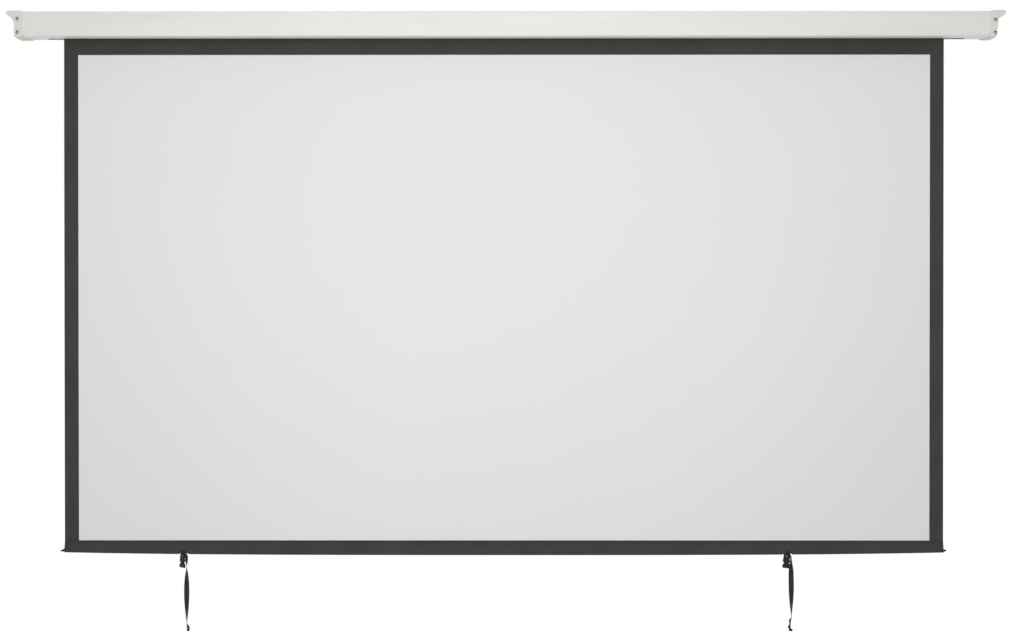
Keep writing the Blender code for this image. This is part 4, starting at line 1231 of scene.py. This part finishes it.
@dataclass
class Strap:
    """One webbing strap: the band round the hem, the buckle's loop and the tail that hangs beside it."""

    side: Side
    x: float
    wide: float = 0.0135
    thick: float = 0.001
    long: float = 0.212
    round_under: float = 0.0049
    rise: float = 0.003
    loop_wide: float = 0.0118
    loop_radius: float = 0.0016
    loop_gape: float = 20.0
    tab_drop: float = 0.0115
    tab_half: float = 0.0032
    tab_thick: float = 0.0008
    tab_shift: Point = (0.0035, -0.00265, -0.0004)
    buckle_shift: float = -0.0046
    buckle_turn: float = math.radians(-50)
    slide: float = 0.0

    def pivot(self, sheet: Sheet) -> Vector:
        """Tells where the middle of the buckle's crossbar hangs.

        Args:
            sheet: The sheet whose bar it hangs from.

        Returns:
            The place.
        """
        band_bottom = sheet.hem_bottom - sheet.sag(self.x) - GAP - self.thick
        z = band_bottom - self.loop_radius - self.thick + GAP
        return Vector((self.x + self.buckle_shift, sheet.plane, z)) + self.along() * self.slide

    def along(self) -> Vector:
        """Tells which way the buckle's crossbar points."""
        return Vector((math.cos(self.buckle_turn), math.sin(self.buckle_turn), 0))

    def band(self, sheet: Sheet) -> bpy.types.Object:
        """Builds the band under the hem, with the loop and the tab that hang from it.

        Args:
            sheet: The sheet whose bar it holds.

        Returns:
            The band.
        """
        low = sheet.hem_bottom - sheet.sag(self.x)
        top = low + self.round_under + self.rise
        deep = sheet.hem_half + GAP + self.thick / 2
        under = low - GAP - self.thick / 2
        radius = self.round_under + self.thick / 2
        spots = [(-deep, top), (-deep, under), (deep, under), (deep, top)]
        start, left, right, end = (Vector(spot) for spot in spots)
        path = [spots[0], *arc(start, left, right, radius, 10), *arc(left, right, end, radius, 10), spots[-1]]
        rows = []
        for index, spot in enumerate(path):
            before, after = path[max(0, index - 1)], path[min(len(path) - 1, index + 1)]
            way = (Vector(after) - Vector(before)).normalized()
            out = Vector((0, way.y, -way.x))
            middle = Vector((self.x, sheet.plane + spot[0], spot[1]))
            rows.append(web_ring(middle, Vector((1, 0, 0)), out, self.wide / 2, self.thick))
        band = loft(f"{self.side.label}_webbing_band", rows)
        join(band, [self.loop(sheet), self.tab(sheet, under)])
        return band

    def loop(self, sheet: Sheet) -> bpy.types.Object:
        """Builds the loop round the buckle's crossbar, open at the top, under the band.

        Args:
            sheet: The sheet whose bar it hangs from.

        Returns:
            The loop.
        """
        pivot, along = self.pivot(sheet), self.along()
        back = Vector((-along.y, along.x, 0))
        reach = self.loop_radius + self.thick / 2
        rows = []
        for step in range(33):
            angle = math.radians(90 + self.loop_gape / 2 + (360 - self.loop_gape) * step / 32)
            out = back * math.cos(angle) + Vector((0, 0, 1)) * math.sin(angle)
            rows.append(web_ring(pivot + out * reach, along, out, self.loop_wide / 2, self.thick * 0.98))
        return loft(f"{self.side.label}_webbing_loop", rows)

    def tab(self, sheet: Sheet, under: float) -> bpy.types.Object:
        """Builds the short tab that hangs from the band, face on.

        Args:
            sheet: The sheet whose bar it hangs from.
            under: Height of the band's lowest middle line.

        Returns:
            The tab.
        """
        start = Vector([place + shift for place, shift in zip((self.x, sheet.plane, under), self.tab_shift)])
        along, out = Vector((1, 0, 0)), Vector((0, -1, 0))
        rows = []
        for step in range(9):
            middle = start - Vector((0, 0, self.tab_drop * step / 8))
            rows.append(web_ring(middle, along, out, self.tab_half, self.tab_thick))
        return loft(f"{self.side.label}_webbing_tab", rows)

    def tail(self, sheet: Sheet) -> bpy.types.Object:
        """Builds the tail with the twist and the fold that the photo shows.

        Args:
            sheet: The sheet whose bar it hangs from.

        Returns:
            The tail.
        """
        top = sheet.hem_bottom - sheet.sag(self.x) - 2 * GAP - self.thick
        across = self.x + self.wide / 2 + GAP + self.thick / 2
        twists = [(drop / 1000, math.radians(twist)) for drop, twist, _ in TAILS[self.side]]
        strays = [(drop / 1000, stray / 1000) for drop, _, stray in TAILS[self.side]]
        rows = []
        steps, tip = 170, 0.0002
        radius = self.wide / 2
        for step in range(steps + 1):
            drop = tip + (self.long - tip) * step / steps
            half = radius if drop > radius else math.sqrt(max(radius**2 - (radius - drop) ** 2, 1e-7))
            angle = ease(twists, drop)
            along = Vector((-math.sin(angle), math.cos(angle), 0))
            out = Vector((math.cos(angle), math.sin(angle), 0))
            middle = Vector((across + ease(strays, drop), sheet.plane, top - drop))
            rows.append(web_ring(middle, along, out, half, self.thick))
        return loft(f"{self.side.label}_webbing_tail", rows)

    def build(self, finishes: Finishes, sheet: Sheet) -> None:
        """Builds the strap and lets its pieces stand for the plain ones.

        Args:
            finishes: The object's finishes.
            sheet: The sheet whose bar it hangs from.
        """
        label = self.side.label
        band = self.band(sheet)
        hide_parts(f"{label}_strap_band")
        dress(band, finishes.webbing, "bar")
        tail = self.tail(sheet)
        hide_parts(f"{label}_strap_tail")
        dress(tail, finishes.webbing, f"{label}_tail")
        Buckle(self.side, self.pivot(sheet), self.buckle_turn).build(finishes)


@dataclass
class Buckle:
    """A side release buckle: the pocketed upper half and the pronged lower half, drawn round the crossbar."""

    side: Side
    pivot: Vector
    turn: float
    half: float = 0.0023
    crossbar: float = 0.0013
    rail: float = 0.0013
    neck: float = 0.0075
    bulge: float = 0.0105
    base: float = 0.0118
    waist: float = 0.0064
    window_drop: float = 0.0034
    bulge_drop: float = 0.0170
    mouth_drop: float = 0.0213
    base_drop: float = 0.0270
    end_drop: float = 0.0341
    pocket: float = 0.0052
    pocket_thick: float = 0.0026
    recess: float = 0.00022
    prong_wide: float = 0.0022
    prong_top: float = 0.0095
    rib_rise: float = 0.0014
    rib_pitch: float = 0.0013
    rib_out: float = 0.00014
    rib_radius: float = 0.00035
    soft_edges: Spot = (0.0003, 0.00025)

    def place(self, obj: bpy.types.Object) -> bpy.types.Object:
        """Turns and moves a finished half to the strap, and gives it back."""
        obj.data.transform(Matrix.Translation(self.pivot) @ Matrix.Rotation(self.turn, 4, "Z"))
        return obj

    def plate(self, name: str, corners: Sequence[Corner], half: float) -> bpy.types.Object:
        """Extrudes corners, each (across, up, radius), by half a thickness to either side."""
        return prism(name, [rounded(corners)], (-half, half), Axis.Y)

    def both_ways(self, corners: Sequence[Corner]) -> List[Corner]:
        """Completes an outline whose corners are given down its right side only."""
        return [(-across, up, radius) for across, up, radius in corners] + list(corners)[::-1]

    def female(self) -> bpy.types.Object:
        """Builds the upper half, with its crossbar, window, side gates and pocket.

        Returns:
            The upper half.
        """
        label = self.side.label
        right = [
            (self.neck, self.half, 0.001),
            (self.neck, -self.window_drop, 0.004),
            (self.bulge, -self.bulge_drop, 0.0014),
            (self.waist, -self.mouth_drop, 0.0006),
        ]
        female = self.plate(f"{label}_buckle_upper", self.both_ways(right), self.half)
        nose = [(-self.half, -0.03, 0), (self.half, -0.03, 0)]
        nose += [(self.half, self.half, self.half * 0.98), (-self.half, self.half, self.half * 0.98)]
        combine(female, prism("nose", [rounded(nose, 10)], (-0.02, 0.02), Axis.X), "INTERSECT")
        panel = [
            (self.neck - 0.0022, -self.window_drop - 0.0022, 0.0012),
            (self.bulge - 0.0036, -self.bulge_drop + 0.0006, 0.0015),
            (self.waist - 0.0018, -self.mouth_drop + 0.0018, 0.0008),
        ]
        for face in (-1, 1):
            recess = self.plate("panel", self.both_ways(panel), self.recess)
            recess.data.transform(Matrix.Translation((0, face * self.half, 0)))
            combine(female, recess)
        room = self.neck - self.rail
        combine(female, block("window", (-room, -0.01, -self.window_drop), (room, 0.01, 0.01)))
        combine(female, pillar("bar", self.crossbar, 2 * room + 0.001, (0, 0, 0), Axis.X, 28), "UNION")
        deep = self.pocket_thick / 2
        low = (-self.pocket, -deep, -0.04)
        combine(female, block("pocket", low, (self.pocket, deep, -self.window_drop - 0.0018)))
        low = (-0.02, -deep, -self.bulge_drop - 0.0015)
        combine(female, block("gates", low, (0.02, deep, -self.bulge_drop + 0.0045)))
        soften(female, self.soft_edges[0], 3, 32)
        return self.place(female)

    def male(self) -> bpy.types.Object:
        """Builds the lower half, with its ribbed base, webbing groove, guide and prongs.

        Returns:
            The lower half.
        """
        label = self.side.label
        mouth = -self.mouth_drop - GAP
        right = [
            (self.waist, mouth, 0.0004),
            (self.base, -self.base_drop, 0.0015),
            (self.base, -self.end_drop, 0.0007),
        ]
        male = self.plate(f"{label}_buckle_lower", self.both_ways(right), self.half)
        slot = self.neck - 2 * self.rail
        low = (-slot, -self.half + 0.0009, -self.end_drop + 0.0022)
        combine(male, block("groove", low, (slot, self.half + 0.001, -self.base_drop - 0.0008)))
        for step in range(3):
            z = -self.end_drop + self.rib_rise + self.rib_pitch * step
            at = (0, -self.half - self.rib_out, z)
            combine(male, pillar("groove_cut", self.rib_radius, 0.03, at, Axis.X, 12))
        outer = self.pocket - GAP
        inner = outer - self.prong_wide
        thick = self.pocket_thick / 2 - GAP
        top = -self.prong_top
        for way in (-1, 1):
            corners = [
                (inner, top, 0.0006),
                (outer - 0.0016, top, 0.0008),
                (outer, -self.bulge_drop + 0.0030, 0.0012),
                (outer, -self.bulge_drop - 0.0008, 0.0001),
                (outer - 0.0008, -self.bulge_drop - 0.0010, 0.0004),
                (outer - 0.0008, mouth - 0.001, 0),
                (inner + 0.0006, mouth - 0.001, 0),
            ]
            corners = [(way * across, up, radius) for across, up, radius in corners]
            prong = self.plate("prong", corners[::way], thick)
            combine(male, prong, "UNION")
        guide = [(0.0012, top - 0.001, 0.0006), (0.0012, mouth - 0.001, 0)]
        combine(male, self.plate("guide", self.both_ways(guide), thick), "UNION")
        soften(male, self.soft_edges[1], 3, 32)
        return self.place(male)

    def build(self, finishes: Finishes) -> None:
        """Builds both halves and lets them stand for the plain ones.

        Args:
            finishes: The object's finishes.
        """
        label = self.side.label
        female = self.female()
        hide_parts(f"{label}_buckle_female")
        dress(female, finishes.dark, f"{label}_buckle")
        male = self.male()
        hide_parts(f"{label}_buckle_male")
        dress(male, finishes.dark, f"{label}_plug")


# Pieces that keep their plain shape


@dataclass
class PlainPieces:
    """Finishes the pieces that are shown as they were constructed."""

    soft_edge: float = 0.00015

    def build(self, finishes: Finishes) -> None:
        """Gives each such piece its finish and soft edges.

        Args:
            finishes: The object's finishes.
        """
        slots = {row["node"]: row["material_slot"] for row in frame["record"]["subparts"]}
        by_slot = {
            "paint": finishes.paint,
            "cap_plastic": finishes.cap,
            "steel": finishes.steel,
            "white_plastic": finishes.white_plastic,
            "dark_plastic": finishes.dark,
            "aluminium": finishes.aluminium,
            "black_cloth": finishes.cloth,
            "white_cloth": finishes.coat,
            "webbing": finishes.webbing,
        }
        for name, obj in sorted(frame["nodes"].items()):
            if obj.hide_render:
                continue
            slot = slots[name]
            if "screw" in name:
                material = finishes.cap if "cap_screw" in name else finishes.zinc
            else:
                material = by_slot[slot]
            obj.data.materials.clear()
            obj.data.materials.append(material)
            soften(obj, self.soft_edge, 2, 35)
            LOG.info("dressed %s", name)


# Studio


@dataclass(frozen=True)
class SoftBox:
    """One soft lamp: where it stands, what it faces, its size, its power in watts and how wide it throws."""

    name: str
    at: Point
    aim: Point
    size: Spot
    power: float
    spread: float = 180.0

    def build(self) -> None:
        """Places the lamp."""
        light = bpy.data.lights.new(self.name, "AREA")
        light.shape = "RECTANGLE"
        light.size, light.size_y = self.size
        light.energy = self.power
        light.spread = math.radians(self.spread)
        obj = bpy.data.objects.new(self.name, light)
        obj.location = self.at
        obj.visible_camera = False
        obj.rotation_euler = (Vector(self.aim) - Vector(self.at)).to_track_quat("-Z", "Y").to_euler()
        bpy.context.scene.collection.objects.link(obj)


@dataclass
class Studio:
    """The pale floor, the soft lamps and the white surroundings."""

    floor_z: float = -2.2
    floor_front: float = -9.0
    floor_back: float = 3.2
    floor_half: float = 7.0
    ambient: float = 0.22
    zenith: float = 4.1
    climb: Spot = (0.1, 0.7)
    boxes: Tuple[SoftBox, ...] = (
        SoftBox("key", (-0.12, -3.4, 0.35), (-0.05, 0, -0.3), (1.8, 1.2), 29.0),
        SoftBox("low_key", (-0.12, -3.0, -1.7), (-0.05, 0, 0.05), (2.2, 0.8), 8.0, 80.0),
    )

    def build(self) -> None:
        """Builds the floor, the lamps and the world."""
        low = (-self.floor_half, self.floor_front, self.floor_z - 0.02)
        floor = block("floor", low, (self.floor_half, self.floor_back, self.floor_z))
        floor.data.materials.append(FloorPaint().build("floor_paint"))
        for box in self.boxes:
            box.build()
        self.surround()

    def surround(self) -> None:
        """Builds the world: white where it is seen or mirrored, and brighter overhead where it lights."""
        world = bpy.data.worlds.new("surroundings")
        bpy.context.scene.world = world
        world.use_nodes = True
        world.node_tree.nodes.clear()
        tree = Tree(world.node_tree)
        path = tree.node("LightPath").outputs
        shown = path["Is Camera Ray"]
        for ray in ("Is Glossy Ray", "Is Transmission Ray"):
            shown = tree.node("Math", {0: shown, 1: path[ray]}, operation="MAXIMUM").outputs["Value"]
        white = (1, 1, 1, 1)
        seen = tree.node("Background", {"Color": white, "Strength": 1.0})
        split = tree.node("SeparateXYZ", {"Vector": tree.node("TexCoord").outputs["Generated"]})
        span = {"From Min": self.climb[0], "From Max": self.climb[1]}
        span.update({"To Min": self.ambient, "To Max": self.ambient * self.zenith})
        dome = tree.node("MapRange", {**span, "Value": split.outputs["Z"]})
        around = tree.node("Background", {"Color": white, "Strength": dome.outputs["Result"]})
        both = {1: around.outputs["Background"], 2: seen.outputs["Background"]}
        mix = tree.node("MixShader", {"Fac": shown, **both})
        tree.node("OutputWorld", {"Surface": mix.outputs["Shader"]})


@dataclass
class PhotoCamera:
    """The camera at the photo's place."""

    focal_px: float = 1731.0
    wide_px: int = 1024
    high_px: int = 631
    at: Point = (0.0296, -4.5187, -0.7509)
    pitch: float = -0.372
    yaw: float = 0.1805
    roll: float = 0.007

    def build(self) -> None:
        """Places the camera and sets how its picture is stored."""
        data = bpy.data.cameras.new("photo_camera")
        data.sensor_fit = "HORIZONTAL"
        data.sensor_width = 36.0
        data.lens = data.sensor_width * self.focal_px / self.wide_px
        data.clip_start, data.clip_end = 0.05, 100.0
        camera = bpy.data.objects.new("photo_camera", data)
        camera.location = self.at
        tilt = math.radians(self.pitch)
        camera.rotation_euler = (math.pi / 2 + tilt, math.radians(self.roll), math.radians(self.yaw))
        data.shift_y = -self.focal_px / self.wide_px * math.tan(tilt)
        scene = bpy.context.scene
        scene.collection.objects.link(camera)
        scene.camera = camera
        scene.view_settings.view_transform = "Standard"
        scene.view_settings.look = "None"
        scene.render.resolution_x, scene.render.resolution_y = self.wide_px, self.high_px


def main() -> None:
    """Builds the screen's sub-assemblies, the studio and the camera in order."""
    logging.basicConfig(level=logging.INFO, format="%(message)s")
    finishes = Finishes()
    Casing().build(finishes)
    for side in Side:
        EndCap(side).build(finishes)
    sheet = Sheet()
    sheet.build(finishes)
    Strap(Side.LEFT, -0.839).build(finishes, sheet)
    Strap(Side.RIGHT, 0.7323, slide=0.0025).build(finishes, sheet)
    PlainPieces().build(finishes)
    Studio().build()
    PhotoCamera().build()


if __name__ == "__main__":
    main()
